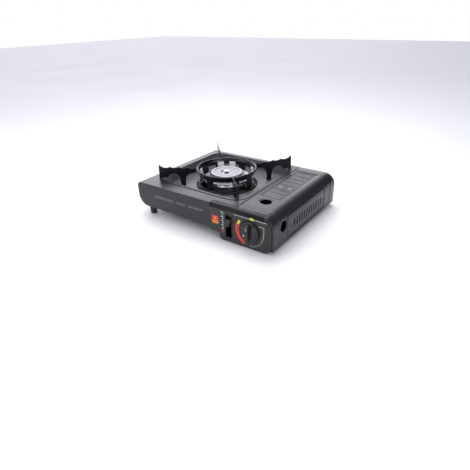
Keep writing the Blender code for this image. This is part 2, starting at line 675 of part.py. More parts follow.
def make_lock(lever_axis, crank_axis, carriage_axis):
    """The lever turns a crank, and the crank draws the carriage and the cartridge forwards."""
    low = LEVER_TOP - 12 * MM
    grip = [
        (FRONT + 3.5 * MM, low + 2 * MM),
        (FRONT - 4 * MM, low + 2 * MM),
        (FRONT - 10 * MM, low),
        (FRONT - 11.5 * MM, low + 3 * MM),
        (FRONT - 4 * MM, LEVER_TOP),
        (FRONT + 3.5 * MM, LEVER_TOP - 1 * MM),
    ]
    sides = (LEVER_X - 5.5 * MM, LEVER_X + 5.5 * MM)
    prism("lock_lever", grip, *sides, LEVER, lever_axis, "X")
    start = FRONT + 3.8 * MM
    low_corner = (LEVER_X - 9 * MM, start, low - 4 * MM)
    high_corner = (LEVER_X + 8 * MM, start + 2 * MM, LEVER_TOP + 8 * MM)
    block("lever_slide", low_corner, high_corner, STEEL, lever_axis)

    y, z = CRANK.y, CRANK.z
    outline = []
    for angle, reach in ((150, 20 * MM), (62, 17 * MM)):
        # each arm tapers from the hub to a rounded end
        direction = Vector((cos(radians(angle)), sin(radians(angle))))
        side = Vector((-direction.y, direction.x))
        hub = Vector((y, z))
        outline.append([hub + side * 4 * MM, hub - side * 4 * MM])
        end = hub + direction * (reach - 2 * MM)
        outline[-1] += [end - side * 2 * MM, end + direction * 2 * MM, end + side * 2 * MM]
    sides = (CRANK.x - 1 * MM, CRANK.x + 1 * MM)
    hub = CRANK - Vector((1 * MM, 0, 0))
    crank = rod("lock_crank", hub, 5 * MM, 2 * MM, (1, 0, 0), STEEL, crank_axis, 16)
    for i, arm in enumerate(outline):
        join(crank, prism(f"crank_arm_{i}", [tuple(p) for p in arm], *sides, None, crank_axis, "X"))
    start = CRANK - Vector((9 * MM, 0, 0))
    bore = rod("crank_bore", start, 2 * MM, 18 * MM, (1, 0, 0), None, crank_axis, 12)
    cut(crank, bore)
    pin = [
        (0, 0),
        (1.6 * MM, 0),
        (1.6 * MM, 9.5 * MM),
        (3.4 * MM, 9.5 * MM),
        (3.4 * MM, 11 * MM),
        (0, 11 * MM),
    ]
    start = Vector((66.3 * MM, y, z))
    turned("crank_pin", pin, start, STEEL, steps=12, direction=(1, 0, 0))
    low = (64 * MM, y - 7 * MM, TROUGH_BOTTOM + SHEET + GAP)
    block("crank_bracket", low, (66 * MM, y + 7 * MM, z + 8 * MM), STEEL)
    coils, steps = 3, 10
    turns = []
    for i in range(coils * steps + 1):
        a = 2 * pi * i / steps
        x = 66.9 * MM + 4 * MM * i / (coils * steps)
        turns.append(Vector((x, y + 2.9 * MM * cos(a), z + 2.9 * MM * sin(a))))
    spring = tube("crank_spring", turns[::2], 0.5 * MM, BRIGHT)
    spring.data.bevel_resolution = 0

    rear = 117 * MM
    side = (77 * MM, -100 * MM, 46 * MM), (79 * MM, rear + 1.5 * MM, 54 * MM)
    carriage = block("carriage", *side, STEEL, carriage_axis)
    pusher = (78 * MM, rear, 22 * MM), (150 * MM, rear + 1.5 * MM, 56 * MM)
    join(carriage, block("pusher", *pusher, None, carriage_axis))


clear_scene()
PAINT = material("dark_paint", (0.055, 0.055, 0.065), 0.4, 0.1)
ENAMEL = material("black_enamel", (0.012, 0.012, 0.013), 0.15, 0.0)
PANEL = material("panel_black", (0.02, 0.02, 0.02), 0.45, 0.0)
KNOB_BLACK = material("knob_black", (0.025, 0.025, 0.027), 0.5, 0.0)
LEVER = material("lever_black", (0.018, 0.018, 0.018), 0.4, 0.0)
RUBBER = material("rubber_black", (0.02, 0.02, 0.02), 0.8, 0.0)
STEEL = material("plated_steel", (0.55, 0.55, 0.56), 0.35, 1.0)
CAST = material("cast_aluminium", (0.6, 0.6, 0.6), 0.5, 1.0)
BRIGHT = material("bright_steel", (0.75, 0.75, 0.75), 0.2, 1.0)
BRASS = material("brass", (0.7, 0.5, 0.2), 0.3, 1.0)
CERAMIC = material("white_ceramic", (0.85, 0.84, 0.8), 0.3, 0.0)
WIRE = material("wire_red", (0.45, 0.05, 0.04), 0.5, 0.0)

stove_centre = empty("stove_centre", (0, KNOB_PROUD / 2, 0))
make_body()
make_lid(empty("lid_hinge_axis", HINGE, stove_centre))
make_pan(empty("pan_lift_axis", BURNER, stove_centre))
spark = make_burner()
make_controls(
    spark,
    empty("knob_axis", KNOB + Vector((0, FRONT, 0)), stove_centre),
    empty("lever_axis", (LEVER_X, FRONT, LEVER_TOP), stove_centre),
    empty("crank_axis", CRANK, stove_centre),
    empty("carriage_axis", (78 * MM, -100 * MM, 50 * MM), stove_centre),
)
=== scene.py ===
import json
from math import cos, pi, radians, sin

import bmesh
import bpy
from mathutils import Matrix, Vector


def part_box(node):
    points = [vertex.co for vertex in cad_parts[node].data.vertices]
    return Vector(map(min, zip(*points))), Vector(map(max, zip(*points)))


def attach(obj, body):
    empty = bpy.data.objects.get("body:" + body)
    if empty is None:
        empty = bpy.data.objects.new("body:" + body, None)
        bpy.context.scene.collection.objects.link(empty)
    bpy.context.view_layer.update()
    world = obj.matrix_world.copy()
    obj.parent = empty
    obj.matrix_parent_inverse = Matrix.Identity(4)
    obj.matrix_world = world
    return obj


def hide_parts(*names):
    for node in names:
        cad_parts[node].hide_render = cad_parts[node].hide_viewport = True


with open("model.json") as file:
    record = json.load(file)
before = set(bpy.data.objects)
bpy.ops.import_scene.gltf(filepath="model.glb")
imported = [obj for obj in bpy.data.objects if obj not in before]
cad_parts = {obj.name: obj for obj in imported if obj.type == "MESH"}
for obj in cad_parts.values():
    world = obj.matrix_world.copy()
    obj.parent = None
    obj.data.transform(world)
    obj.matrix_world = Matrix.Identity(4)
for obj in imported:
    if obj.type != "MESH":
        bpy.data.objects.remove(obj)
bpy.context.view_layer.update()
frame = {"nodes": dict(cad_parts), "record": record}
mm = 0.001

# places read from the frame
(left, _, floorZ), (_, _, top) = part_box("casing")
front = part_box("front_plate")[0].y
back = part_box("back_plate")[1].y
troughLeft, _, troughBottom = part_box("trough")[0]
lidLow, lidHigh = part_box("lid")
seam, right = lidLow.x, lidHigh.x
panelLow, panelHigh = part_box("control_panel")
panLow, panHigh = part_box("pan")
collarLow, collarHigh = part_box("collar")
burner = Vector((*((collarLow + collarHigh) / 2).xy, 0))
print("frame loaded")


# ---- mesh helpers

def arcPoints(cx, cz, radius, start, end, steps):
    angles = [radians(start + (end - start) * i / steps) for i in range(steps + 1)]
    return [(cx + radius * cos(a), cz + radius * sin(a)) for a in angles]


def resample(path, spacing):
    # adds points on the long straight runs
    points = [path[0]]
    for a, b in zip(path, path[1:]):
        length = (Vector(b) - Vector(a)).length
        count = max(1, round(length / spacing))
        points += [tuple(Vector(a).lerp(Vector(b), i / count)) for i in range(1, count + 1)]
    return points


def normalsOf(path, side):
    # side 1 points left of the way the path runs, -1 right of it
    points = [Vector(p) for p in path]
    found = []
    for i, point in enumerate(points):
        steps = []
        if i:
            steps.append((point - points[i - 1]).normalized())
        if i + 1 < len(points):
            steps.append((points[i + 1] - point).normalized())
        normals = [Vector((-d.y, d.x)) * side for d in steps]
        normal = sum(normals, Vector((0, 0))).normalized()
        found.append(normal / max(0.5, normal.dot(normals[0])))
    return found


def moved(path, side, distance):
    return [tuple(Vector(p) + n * distance) for p, n in zip(path, normalsOf(path, side))]


def linked(name, mesh):
    obj = bpy.data.objects.new(name, mesh)
    bpy.context.scene.collection.objects.link(obj)
    return obj


def meshFrom(name, bm):
    mesh = bpy.data.meshes.new(name)
    bm.to_mesh(mesh)
    bm.free()
    return mesh


def softened(mesh, angle=32):
    mesh.shade_smooth()
    mesh.set_sharp_from_angle(angle=radians(angle))
    return mesh


def objectFrom(name, bm):
    bmesh.ops.remove_doubles(bm, verts=bm.verts, dist=1e-6)
    bmesh.ops.recalc_face_normals(bm, faces=bm.faces)
    return linked(name, softened(meshFrom(name, bm)))


def joinRows(bm, rows, closed=False):
    # quads between neighbouring rows of points
    for a, b in zip(rows, rows[1:]):
        for i in range(len(a) if closed else len(a) - 1):
            j = (i + 1) % len(a)
            bm.faces.new((a[i], a[j], b[j], b[i]))


def inMm(points):
    return [(a * mm, b * mm) for a, b in points]


def settle(obj, angle=32):
    # turns the live modifiers into plain mesh
    bpy.context.view_layer.update()
    graph = bpy.context.evaluated_depsgraph_get()
    mesh = bpy.data.meshes.new_from_object(obj.evaluated_get(graph), depsgraph=graph)
    obj.modifiers.clear()
    old = obj.data
    obj.data = softened(mesh, angle)
    bpy.data.meshes.remove(old)
    return obj


def withBevel(obj, width, segments=2, limit=40):
    bevel = obj.modifiers.new("edge", "BEVEL")
    bevel.width = width
    bevel.segments = segments
    bevel.limit_method = "ANGLE"
    bevel.angle_limit = radians(limit)
    bevel.harden_normals = False
    return settle(obj)


def withWall(obj, thickness):
    # a wall on the inner side of a surface whose faces point outwards
    wall = obj.modifiers.new("wall", "SOLIDIFY")
    wall.thickness = thickness
    wall.offset = -1
    wall.use_even_offset = True
    return settle(obj)


def carve(obj, *tools, operation="DIFFERENCE"):
    for tool in tools:
        boolean = obj.modifiers.new("cut", "BOOLEAN")
        boolean.object = tool
        boolean.operation = operation
        boolean.solver = "EXACT"
    settle(obj)
    for tool in tools:
        bpy.data.objects.remove(tool, do_unlink=True)
    return obj


def cuboid(name, low, high):
    bm = bmesh.new()
    bmesh.ops.create_cube(bm, size=1)
    size = Vector(high) - Vector(low)
    bm.transform(Matrix.Translation((Vector(low) + Vector(high)) / 2) @ Matrix.Diagonal((*size, 1)))
    return objectFrom(name, bm)


def extruded(name, outline, low, high, axis="Y"):
    point = {
        "X": lambda p, d: (d, p[0], p[1]),
        "Y": lambda p, d: (p[0], d, p[1]),
        "Z": lambda p, d: (p[0], p[1], d),
    }[axis]
    bm = bmesh.new()
    ends = [[bm.verts.new(point(p, d)) for p in outline] for d in (low, high)]
    bm.faces.new(ends[0])
    bm.faces.new(ends[1])
    for i in range(len(outline)):
        j = (i + 1) % len(outline)
        bm.faces.new((ends[0][i], ends[0][j], ends[1][j], ends[1][i]))
    return objectFrom(name, bm)


def turnedSolid(name, profile, centre, steps=72, direction=(0, 0, 1)):
    # a closed (radius, height) profile turned about an axis through centre
    bm = bmesh.new()
    verts = [bm.verts.new((r, 0, z)) for r, z in profile]
    edges = [bm.edges.new((verts[i - 1], verts[i])) for i in range(len(verts))]
    bmesh.ops.spin(bm, geom=verts + edges, axis=(0, 0, 1), cent=(0, 0, 0), steps=steps,
                   angle=2 * pi)
    bmesh.ops.remove_doubles(bm, verts=bm.verts, dist=1e-6)
    bmesh.ops.dissolve_degenerate(bm, edges=bm.edges, dist=1e-6)
    turn = Vector((0, 0, 1)).rotation_difference(Vector(direction)).to_matrix().to_4x4()
    bm.transform(Matrix.Translation(centre) @ turn)
    return objectFrom(name, bm)


def roundedSquare(half, corner, z, steps=12):
    ring = []
    for quarter in range(4):
        turn = quarter * pi / 2
        for i in range(steps):
            a = (i + 0.5) / steps * pi / 2
            x, y = half - corner + corner * cos(a), half - corner + corner * sin(a)
            ring.append(Vector((x * cos(turn) - y * sin(turn), x * sin(turn) + y * cos(turn), z)))
    return ring


def roundedBox(xRange, zRange, corner, steps=6):
    (x0, x1), (z0, z1) = xRange, zRange
    points = arcPoints(x1 - corner, z1 - corner, corner, 0, 90, steps)
    points += arcPoints(x0 + corner, z1 - corner, corner, 90, 180, steps)
    points += arcPoints(x0 + corner, z0 + corner, corner, 180, 270, steps)
    return points + arcPoints(x1 - corner, z0 + corner, corner, 270, 360, steps)


def foldedShell(name, path, side, closing, yFace, yEnd, fold, wall):
    # a pressed end cap: a flat face at yFace whose rim rolls back along path as far as yEnd
    way = 1 if yEnd > yFace else -1
    levels = [(fold + 1.2 * mm, 0)]
    levels += [(fold * (1 - sin(a)), fold * (1 - cos(a)))
               for a in (i / 6 * pi / 2 for i in range(7))]
    levels.append((0, abs(yEnd - yFace)))
    bm = bmesh.new()
    rows = [[bm.verts.new((x, yFace + way * depth, z)) for x, z in moved(path, side, inset)]
            for inset, depth in levels]
    joinRows(bm, rows)
    bm.faces.new(rows[0] + [bm.verts.new((x, yFace, z)) for x, z in closing])
    bmesh.ops.recalc_face_normals(bm, faces=bm.faces)
    bm.normal_update()
    big = max(bm.faces, key=lambda f: len(f.verts))
    if big.normal.y * way > 0:
        bmesh.ops.reverse_faces(bm, faces=bm.faces)
    return withWall(linked(name, meshFrom(name, bm)), wall)


def spanOf(node):
    # lowest corner, highest corner, middle and half width of a CAD piece
    low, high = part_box(node)
    return low, high, (low + high) / 2, (high.x - low.x) / 2


def merged(name, parts):
    # several closed solids kept in one object
    bm = bmesh.new()
    for part in parts:
        bm.from_mesh(part.data)
        bpy.data.objects.remove(part, do_unlink=True)
    return objectFrom(name, bm)


def place(obj, body, mat, slot, *replaced):
    obj.data.materials.clear()
    obj.data.materials.append(mat)
    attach(obj, body)
    if replaced:
        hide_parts(*replaced)
    return obj


# ---- geometry node helpers

def geometryTree(name, sizes):
    tree = bpy.data.node_groups.new(name, "GeometryNodeTree")
    tree.interface.new_socket("Geometry", in_out="INPUT", socket_type="NodeSocketGeometry")
    for label, value in sizes.items():
        kind = {int: "Int", float: "Float", tuple: "Vector"}[type(value)]
        socket = tree.interface.new_socket(label, in_out="INPUT", socket_type="NodeSocket" + kind)
        socket.default_value = value
    tree.interface.new_socket("Finish", in_out="INPUT", socket_type="NodeSocketMaterial")
    tree.interface.new_socket("Geometry", in_out="OUTPUT", socket_type="NodeSocketGeometry")
    return tree, tree.nodes.new("NodeGroupInput"), tree.nodes.new("NodeGroupOutput")


def addNode(tree, kind, inputs=None, **settings):
    made = tree.nodes.new(kind)
    for key, value in settings.items():
        setattr(made, key, value)
    for key, value in (inputs or {}).items():
        if isinstance(value, bpy.types.NodeSocket):
            tree.links.new(value, made.inputs[key])
        else:
            made.inputs[key].default_value = value
    return made


def calc(tree, operation, first, second):
    return addNode(tree, "ShaderNodeMath", {0: first, 1: second}, operation=operation).outputs[0]


def combined(tree, **parts):
    return addNode(tree, "ShaderNodeCombineXYZ", parts).outputs[0]


def joined(tree, *parts):
    made = addNode(tree, "GeometryNodeJoinGeometry")
    for part in parts:
        tree.links.new(part, made.inputs[0])
    return made.outputs[0]


def transformed(tree, geometry, **values):
    inputs = {"Geometry": geometry, **values}
    return addNode(tree, "GeometryNodeTransform", inputs).outputs[0]


def instanced(tree, points, instance, rotation=(0, 0, 0)):
    inputs = {"Points": points, "Instance": instance, "Rotation": rotation}
    return addNode(tree, "GeometryNodeInstanceOnPoints", inputs).outputs[0]


def pointRow(tree, count, start, step):
    inputs = {"Count": count, "Start Location": start, "Offset": step}
    return addNode(tree, "GeometryNodeMeshLine", inputs).outputs[0]


def cylinder(tree, vertices, radius, depth):
    inputs = {"Vertices": vertices, "Radius": radius, "Depth": depth}
    return addNode(tree, "GeometryNodeMeshCylinder", inputs).outputs["Mesh"]


def punched(tree, body, tools):
    real = addNode(tree, "GeometryNodeRealizeInstances", {"Geometry": tools})
    cut = addNode(tree, "GeometryNodeMeshBoolean", {"Mesh 1": body}, operation="DIFFERENCE",
                  solver="EXACT")
    tree.links.new(real.outputs[0], cut.inputs["Mesh 2"])
    return cut.outputs["Mesh"]


def closeTree(tree, given, end, geometry):
    real = addNode(tree, "GeometryNodeRealizeInstances", {"Geometry": geometry})
    painted = addNode(tree, "GeometryNodeSetMaterial",
                      {"Geometry": real.outputs[0], "Material": given.outputs["Finish"]})
    tree.links.new(painted.outputs[0], end.inputs["Geometry"])


def applyTree(obj, tree, values, mat, angle=32):
    modifier = obj.modifiers.new(tree.name, "NODES")
    modifier.node_group = tree
    for item in tree.interface.items_tree:
        if item.in_out != "INPUT":
            continue
        if item.name in values:
            modifier[item.identifier] = values[item.name]
        if item.name == "Finish":
            modifier[item.identifier] = mat
    return settle(obj, angle)


def pointsObject(name, points):
    mesh = bpy.data.meshes.new(name)
    mesh.from_pydata([tuple(p) for p in points], [], [])
    return linked(name, mesh)


# ---- shader groups

def shaderGroup(name, inputs, outputs):
    tree = bpy.data.node_groups.new(name, "ShaderNodeTree")
    for label, value in inputs.items():
        kind = "NodeSocketVector" if isinstance(value, tuple) else "NodeSocketFloat"
        socket = tree.interface.new_socket(label, in_out="INPUT", socket_type=kind)
        socket.default_value = value
    for label in outputs:
        tree.interface.new_socket(label, in_out="OUTPUT", socket_type="NodeSocketFloat")
    return tree, tree.nodes.new("NodeGroupInput"), tree.nodes.new("NodeGroupOutput")


def noise(tree, stretch=None, **values):
    coords = addNode(tree, "ShaderNodeTexCoord").outputs["Object"]
    if stretch:
        coords = addNode(tree, "ShaderNodeMapping", {"Vector": coords, **stretch}).outputs[0]
    return addNode(tree, "ShaderNodeTexNoise", {"Vector": coords, **values}).outputs[0]


def makeGrain():
    # fine orange peel or moulded texture, with a slower swell under it
    tree, given, end = shaderGroup("surfaceGrain", {"Scale": 900.0, "Swell": 0.3}, ["Height"])
    fine = noise(tree, Scale=given.outputs["Scale"], Detail=2.0)
    slow = noise(tree, Scale=60.0, Detail=1.0)
    blend = addNode(tree, "ShaderNodeMix", {"Factor": given.outputs["Swell"], "A": fine, "B": slow})
    tree.links.new(blend.outputs[0], end.inputs["Height"])
    return tree


def makeClouds():
    # soft uneven patches from 0 to 1: handling marks, dust, uneven gloss
    tree, given, end = shaderGroup("handledPatches", {"Scale": 14.0, "Low": 0.35, "High": 0.7},
                                   ["Mask"])
    take = given.outputs
    cloud = noise(tree, Scale=take["Scale"], Detail=4.0, Distortion=0.6)
    ramp = addNode(tree, "ShaderNodeMapRange",
                   {"Value": cloud, "From Min": take["Low"], "From Max": take["High"]})
    tree.links.new(ramp.outputs[0], end.inputs["Mask"])
    return tree


def makeScuffs():
    # sparse short scratches, as a mask
    tree, given, end = shaderGroup("fineScuffs", {"Scale": 30.0, "Amount": 0.5}, ["Mask"])
    lines = noise(tree, {"Rotation": (0.3, 0.5, 0.7), "Scale": (1, 14, 3)},
                  Scale=given.outputs["Scale"], Detail=3.0)
    ramp = addNode(tree, "ShaderNodeMapRange", {"Value": lines, "From Min": 0.66, "From Max": 0.78})
    mask = calc(tree, "MULTIPLY", ramp.outputs[0], given.outputs["Amount"])
    tree.links.new(mask, end.inputs["Mask"])
    return tree


def makeBrush():
    # drawn lines of rolled or brushed metal
    tree, given, end = shaderGroup("drawnLines", {"Scale": 200.0, "Stretch": (1.0, 30.0, 30.0)},
                                   ["Height"])
    lines = noise(tree, {"Scale": given.outputs["Stretch"]}, Scale=given.outputs["Scale"],
                  Detail=3.0)
    tree.links.new(lines, end.inputs["Height"])
    return tree


grainGroup, cloudGroup = makeGrain(), makeClouds()
scuffGroup, brushGroup = makeScuffs(), makeBrush()


def surface(name, color, rough, metal=0.0, tint=1.15, grain=(900, 0.05), swell=0.3, scuff=0.0,
            cloud=14.0, brush=None, coat=0.0, coatRough=0.1, specular=0.5):
    # color is the main tone and tint lifts it in the patches; rough is (least, most)
    mat = bpy.data.materials.new(name)
    mat.use_nodes = True
    tree = mat.node_tree
    shader = tree.nodes["Principled BSDF"]
    for key, value in (("Metallic", metal), ("Coat Weight", coat), ("Coat Roughness", coatRough),
                       ("Specular IOR Level", specular)):
        shader.inputs[key].default_value = value

    def group(kind, **values):
        made = addNode(tree, "ShaderNodeGroup", node_tree=kind)
        for key, value in values.items():
            made.inputs[key].default_value = value
        return made

    def blend(factor, first, second):
        return addNode(tree, "ShaderNodeMix", {"Factor": factor, "A": first, "B": second},
                       data_type="RGBA").outputs["Result"]

    def lifted(times):
        return (*[min(1, c * times) for c in color], 1)

    patches = group(cloudGroup, Scale=cloud)
    colour = blend(patches.outputs[0], (*color, 1), lifted(tint))
    gloss = addNode(tree, "ShaderNodeMapRange", {
        "Value": patches.outputs[0], "To Min": rough[0], "To Max": rough[1]}).outputs[0]
    if scuff:
        marks = group(scuffGroup, Amount=scuff)
        colour = blend(marks.outputs[0], colour, lifted(3))
    tree.links.new(colour, shader.inputs["Base Color"])
    tree.links.new(gloss, shader.inputs["Roughness"])
    if brush:
        height = group(brushGroup, Stretch=brush)
    else:
        height = group(grainGroup, Scale=float(grain[0]), Swell=swell)
    bump = addNode(tree, "ShaderNodeBump", {
        "Height": height.outputs[0], "Strength": 0.6, "Distance": grain[1] * mm})
    tree.links.new(bump.outputs[0], shader.inputs["Normal"])
    return mat


paint = surface("darkPaint", (0.011, 0.011, 0.015), (0.30, 0.38), grain=(1400, 0.04), scuff=0.2,
                cloud=9.0, coat=0.12, coatRough=0.24, specular=0.40)
enamel = surface("blackEnamel", (0.004, 0.004, 0.005), (0.24, 0.33), grain=(240, 0.03), swell=0.8,
                 coat=0.05, coatRough=0.12, specular=0.36)
panEnamel = surface("panEnamel", (0.125, 0.125, 0.14), (0.32, 0.42), grain=(700, 0.10),
                    swell=0.4, coat=0.08, coatRough=0.2, specular=0.3)
matt = surface("mattBlack", (0.004, 0.004, 0.004), (0.6, 0.75), grain=(900, 0.05), specular=0.2)
panelPlastic = surface("panelBlack", (0.024, 0.025, 0.025), (0.42, 0.55), grain=(1500, 0.06),
                       scuff=0.2, specular=0.45)
lipPlastic = surface("lipBlack", (0.004, 0.004, 0.005), (0.30, 0.40), grain=(1200, 0.02),
                     specular=0.2)
knobPlastic = surface("knobBlack", (0.009, 0.009, 0.010), (0.30, 0.40), grain=(1500, 0.03),
                      scuff=0.3)
leverPlastic = surface("leverBlack", (0.008, 0.008, 0.009), (0.34, 0.45), grain=(1500, 0.03))
rubber = surface("rubberBlack", (0.020, 0.020, 0.021), (0.72, 0.88), grain=(1100, 0.12))
plated = surface("platedSteel", (0.46, 0.46, 0.47), (0.26, 0.4), 1.0, grain=(180, 0.03),
                 cloud=40.0, brush=(1.0, 18.0, 18.0))
# a darker copy of the plated steel: painted shade for steel that sits in shadow, inside the casing,
# under the lid and in the burner cap's hollow middle
steelPaintedShade = surface("steelPaintedShade", (0.045, 0.045, 0.05), (0.38, 0.5), 1.0, grain=(180, 0.03),
                    cloud=40.0, brush=(1.0, 18.0, 18.0))
cast = surface("castAluminium", (0.52, 0.52, 0.53), (0.42, 0.6), 1.0, grain=(700, 0.2), cloud=30.0)
bright = surface("brightSteel", (0.82, 0.82, 0.83), (0.16, 0.28), 1.0, grain=(180, 0.01),
                 cloud=35.0, brush=(2.0, 2.0, 60.0))
zinc = surface("zincPlate", (0.92, 0.92, 0.93), (0.5, 0.6), 0.6, grain=(400, 0.02))
capMetal = surface("capSteel", (0.33, 0.33, 0.34), (0.34, 0.46), 1.0, grain=(800, 0.06),
                   cloud=45.0)
ringMetal = surface("ringMetal", (0.20, 0.17, 0.12), (0.42, 0.55), 1.0, grain=(500, 0.03),
                    cloud=60.0)
brass = surface("brassTurned", (0.66, 0.46, 0.19), (0.24, 0.42), 1.0, grain=(500, 0.03), cloud=60.0)
ceramic = surface("whiteCeramic", (0.82, 0.80, 0.75), (0.14, 0.25), grain=(400, 0.02), coat=0.4)
wireRed = surface("wireRed", (0.40, 0.035, 0.03), (0.38, 0.5), grain=(900, 0.03))
inkWhite = surface("inkWhite", (0.62, 0.62, 0.63), (0.4, 0.55), tint=1.2, grain=(1800, 0.01))
inkRed = surface("inkRed", (0.55, 0.035, 0.03), (0.38, 0.5), tint=1.25, grain=(1800, 0.01))
inkOrange = surface("inkOrange", (0.75, 0.22, 0.03), (0.38, 0.5), tint=1.2, grain=(1800, 0.01))
inkYellow = surface("inkYellow", (0.66, 0.58, 0.06), (0.38, 0.5), tint=1.15, grain=(1800, 0.01))
inkPale = surface("inkPale", (0.34, 0.34, 0.37), (0.4, 0.55), tint=1.3, grain=(1800, 0.01))
inkLabel = surface("inkLabel", (0.17, 0.17, 0.185), (0.5, 0.65), tint=1.5, grain=(1800, 0.01),
                   cloud=60.0, specular=0.3)
inkGrey = surface("inkGrey", (0.012, 0.012, 0.015), (0.4, 0.5), tint=1.4, grain=(1200, 0.015),
                  cloud=30.0, specular=0.36)
print("materials built")

slotMaterials = {
    "dark_paint": paint, "black_enamel": enamel, "panel_black": panelPlastic,
    "knob_black": knobPlastic, "lever_black": leverPlastic, "rubber_black": rubber,
    "plated_steel": plated, "cast_aluminium": cast, "bright_steel": bright, "brass": brass,
    "white_ceramic": ceramic, "wire_red": wireRed,
}
# these parts of the bay and the lid hinge take the darker copy of the plated steel in place of
# their bright plating: painted shade
shaded = ("trough", "heat_shield", "valve_plate", "lever_slide", "notch_guide", "carriage",
          "lid_knuckle_front", "lid_knuckle_back", "hinge_rod", "hinge_bracket_front",
          "hinge_bracket_back")
for entry in frame["record"]["subparts"]:
    node = frame["nodes"][entry["node"]]
    node.data.materials.clear()
    mat = steelPaintedShade if entry["node"] in shaded else slotMaterials[entry["material_slot"]]
    node.data.materials.append(mat)


# ---- casing, end plates and caps

shell = {
    "wall": 0.7 * mm,
    "fold": 2.2 * mm,        # bend radius round the front and back faces
    "hem": 1.4 * mm,         # bend radius along the lid seam
    "hemDepth": 5 * mm,
    "topRadius": 9 * mm,
    "bottomRadius": 25 * mm,
    "lidRadius": 25 * mm,
    "seamGap": 0.35 * mm,
    "capStep": 13 * mm,      # where the cap's foot steps up over the trough, from the right
    "capRise": 6 * mm,
}
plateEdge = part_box("front_plate")[1].x
lipEnd = panelLow.y + 15.1 * mm


def casingPath(hem=True):
    r, rb, fold = shell["topRadius"], shell["bottomRadius"], shell["hem"]
    edge = seam - 2 * shell["seamGap"]
    start = [(edge, top - shell["hemDepth"])] if hem else []
    start += arcPoints(edge - fold, top - fold, fold, 0, 90, 5) if hem else []
    path = start + arcPoints(left + r, top - r, r, 90, 180, 12)
    path += arcPoints(left + rb, floorZ + rb, rb, 180, 270, 16)
    return path


def lidPath(hem=True):
    r, fold = shell["lidRadius"], shell["hem"]
    start = [(seam, top - shell["hemDepth"])]
    start += arcPoints(seam + fold, top - fold, fold, 180, 90, 5)
    path = start if hem else [(seam, top)]
    path += arcPoints(right - r, top - r, r, 90, 0, 20)
    return path + [(right, lidLow.z)]


def buildCasing():
    wall, fold = shell["wall"], shell["fold"]
    path = casingPath() + [(troughLeft - shell["seamGap"], floorZ)]
    ends = (front + fold + 0.3 * mm, back - fold - 0.3 * mm)
    outline = path + list(reversed(moved(path, 1, wall)))
    casing = extruded("casingSheet", outline, *ends)
    half = (panHigh.x - panLow.x) / 2 - 4.6 * mm
    hole = [tuple((p + burner).xy) for p in roundedSquare(half, 27 * mm, 0)]
    lip = cuboid("lipRoom", (plateEdge, front - 1 * mm, top - 12 * mm),
                 (seam + 1 * mm, lipEnd, top + 5 * mm))
    carve(casing, extruded("well", hole, top - 8 * mm, top + 8 * mm, "Z"), lip)
    place(casing, "body", paint, "dark_paint", "casing")

    body = casingPath(False)
    face = [(plateEdge, top)] + body + [(plateEdge, floorZ)]
    plate = foldedShell("frontFace", face, 1, [], front, front + fold + 0.1 * mm, fold, wall)
    place(plate, "body", paint, "dark_paint", "front_plate")
    deep = [(troughLeft, floorZ), (troughLeft, troughBottom), (seam - 0.6 * mm, troughBottom)]
    face = [(seam - 0.6 * mm, top)] + body + deep
    plate = foldedShell("backFace", face, 1, [], back, back - fold - 0.1 * mm, fold, wall)
    place(plate, "body", paint, "dark_paint", "back_plate")

    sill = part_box("front_cap")[0].z
    step, rise = right - shell["capStep"], sill + shell["capRise"]
    for name, node, yFace, yEnd in (
        ("frontCapShell", "front_cap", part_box("front_cap")[0].y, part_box("front_cap")[1].y),
        ("backCapShell", "back_cap", back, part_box("back_cap")[0].y),
    ):
        closing = [(step, sill), (step, rise), (seam, rise)]
        cap = foldedShell(name, lidPath(False), -1, closing, yFace, yEnd, fold, wall)
        if node == "front_cap":
            low = (seam - 1 * mm, front - 1 * mm, top - 12 * mm)
            room = cuboid("lipRoom", low, (panelHigh.x - 16.8 * mm, lipEnd, top + 5 * mm))
            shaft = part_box("knob_shaft")
            centre = (shaft[0] + shaft[1]) / 2
            bore = turnedSolid("bore", [(0, 0), (8 * mm, 0), (8 * mm, 9 * mm), (0, 9 * mm)],
                               (centre.x, yFace - 3 * mm, centre.z), 24, (0, 1, 0))
            carve(cap, room, bore)
        place(cap, "body", paint, "dark_paint", node)
    # the trough's rear end is closed by a turned-up strip behind the cap, in the darker steel that
    # paints the shade inside the bay
    low = (seam, back - 1.5 * mm, troughBottom + 0.75 * mm)
    end = cuboid("troughEnd", low, (step - 0.6 * mm, back - 0.8 * mm, rise + 1 * mm))
    place(end, "body", steelPaintedShade, "plated_steel")


buildCasing()
print("casing built")


# ---- lid

lidPress = {
    "panelY": (-81.5 * mm, 80 * mm),     # field round the vents, about the middle
    "panelZ": (14 * mm, 60 * mm),
    "groove": 1.3 * mm,
    "labelDepth": 0.8 * mm,
    "beadY": 106 * mm,        # a pressed line across the lid near each end
    "beadDepth": 0.5 * mm,
    "slotCount": 12,
    "slotPitch": 10.7 * mm,
    "firstSlot": -54.5 * mm,
    "slotZ": 35.8 * mm,
    "slotLength": 18.6 * mm,
    "slotWidth": 3.8 * mm,
    "fingerHole": (117 * mm, -73 * mm),
    "holeRadius": 11.5 * mm,
    "sideHole": (-95.6 * mm, 44.4 * mm),
    "endHoles": (-67 * mm, 33 * mm),
    "endSpan": 142 * mm,
}


def smooth(low, high, value):
    t = min(1, max(0, (value - low) / (high - low)))
    return t * t * (3 - 2 * t)


def insideBox(u, v, uRange, vRange, radius):
    # distance inside a rounded rectangle, negative outside
    hu, hv = (uRange[1] - uRange[0]) / 2, (vRange[1] - vRange[0]) / 2
    du = abs(u - (uRange[0] + uRange[1]) / 2) - hu + radius
    dv = abs(v - (vRange[0] + vRange[1]) / 2) - hv + radius
    outside = Vector((max(du, 0), max(dv, 0))).length
    return radius - outside - min(0, max(du, dv))


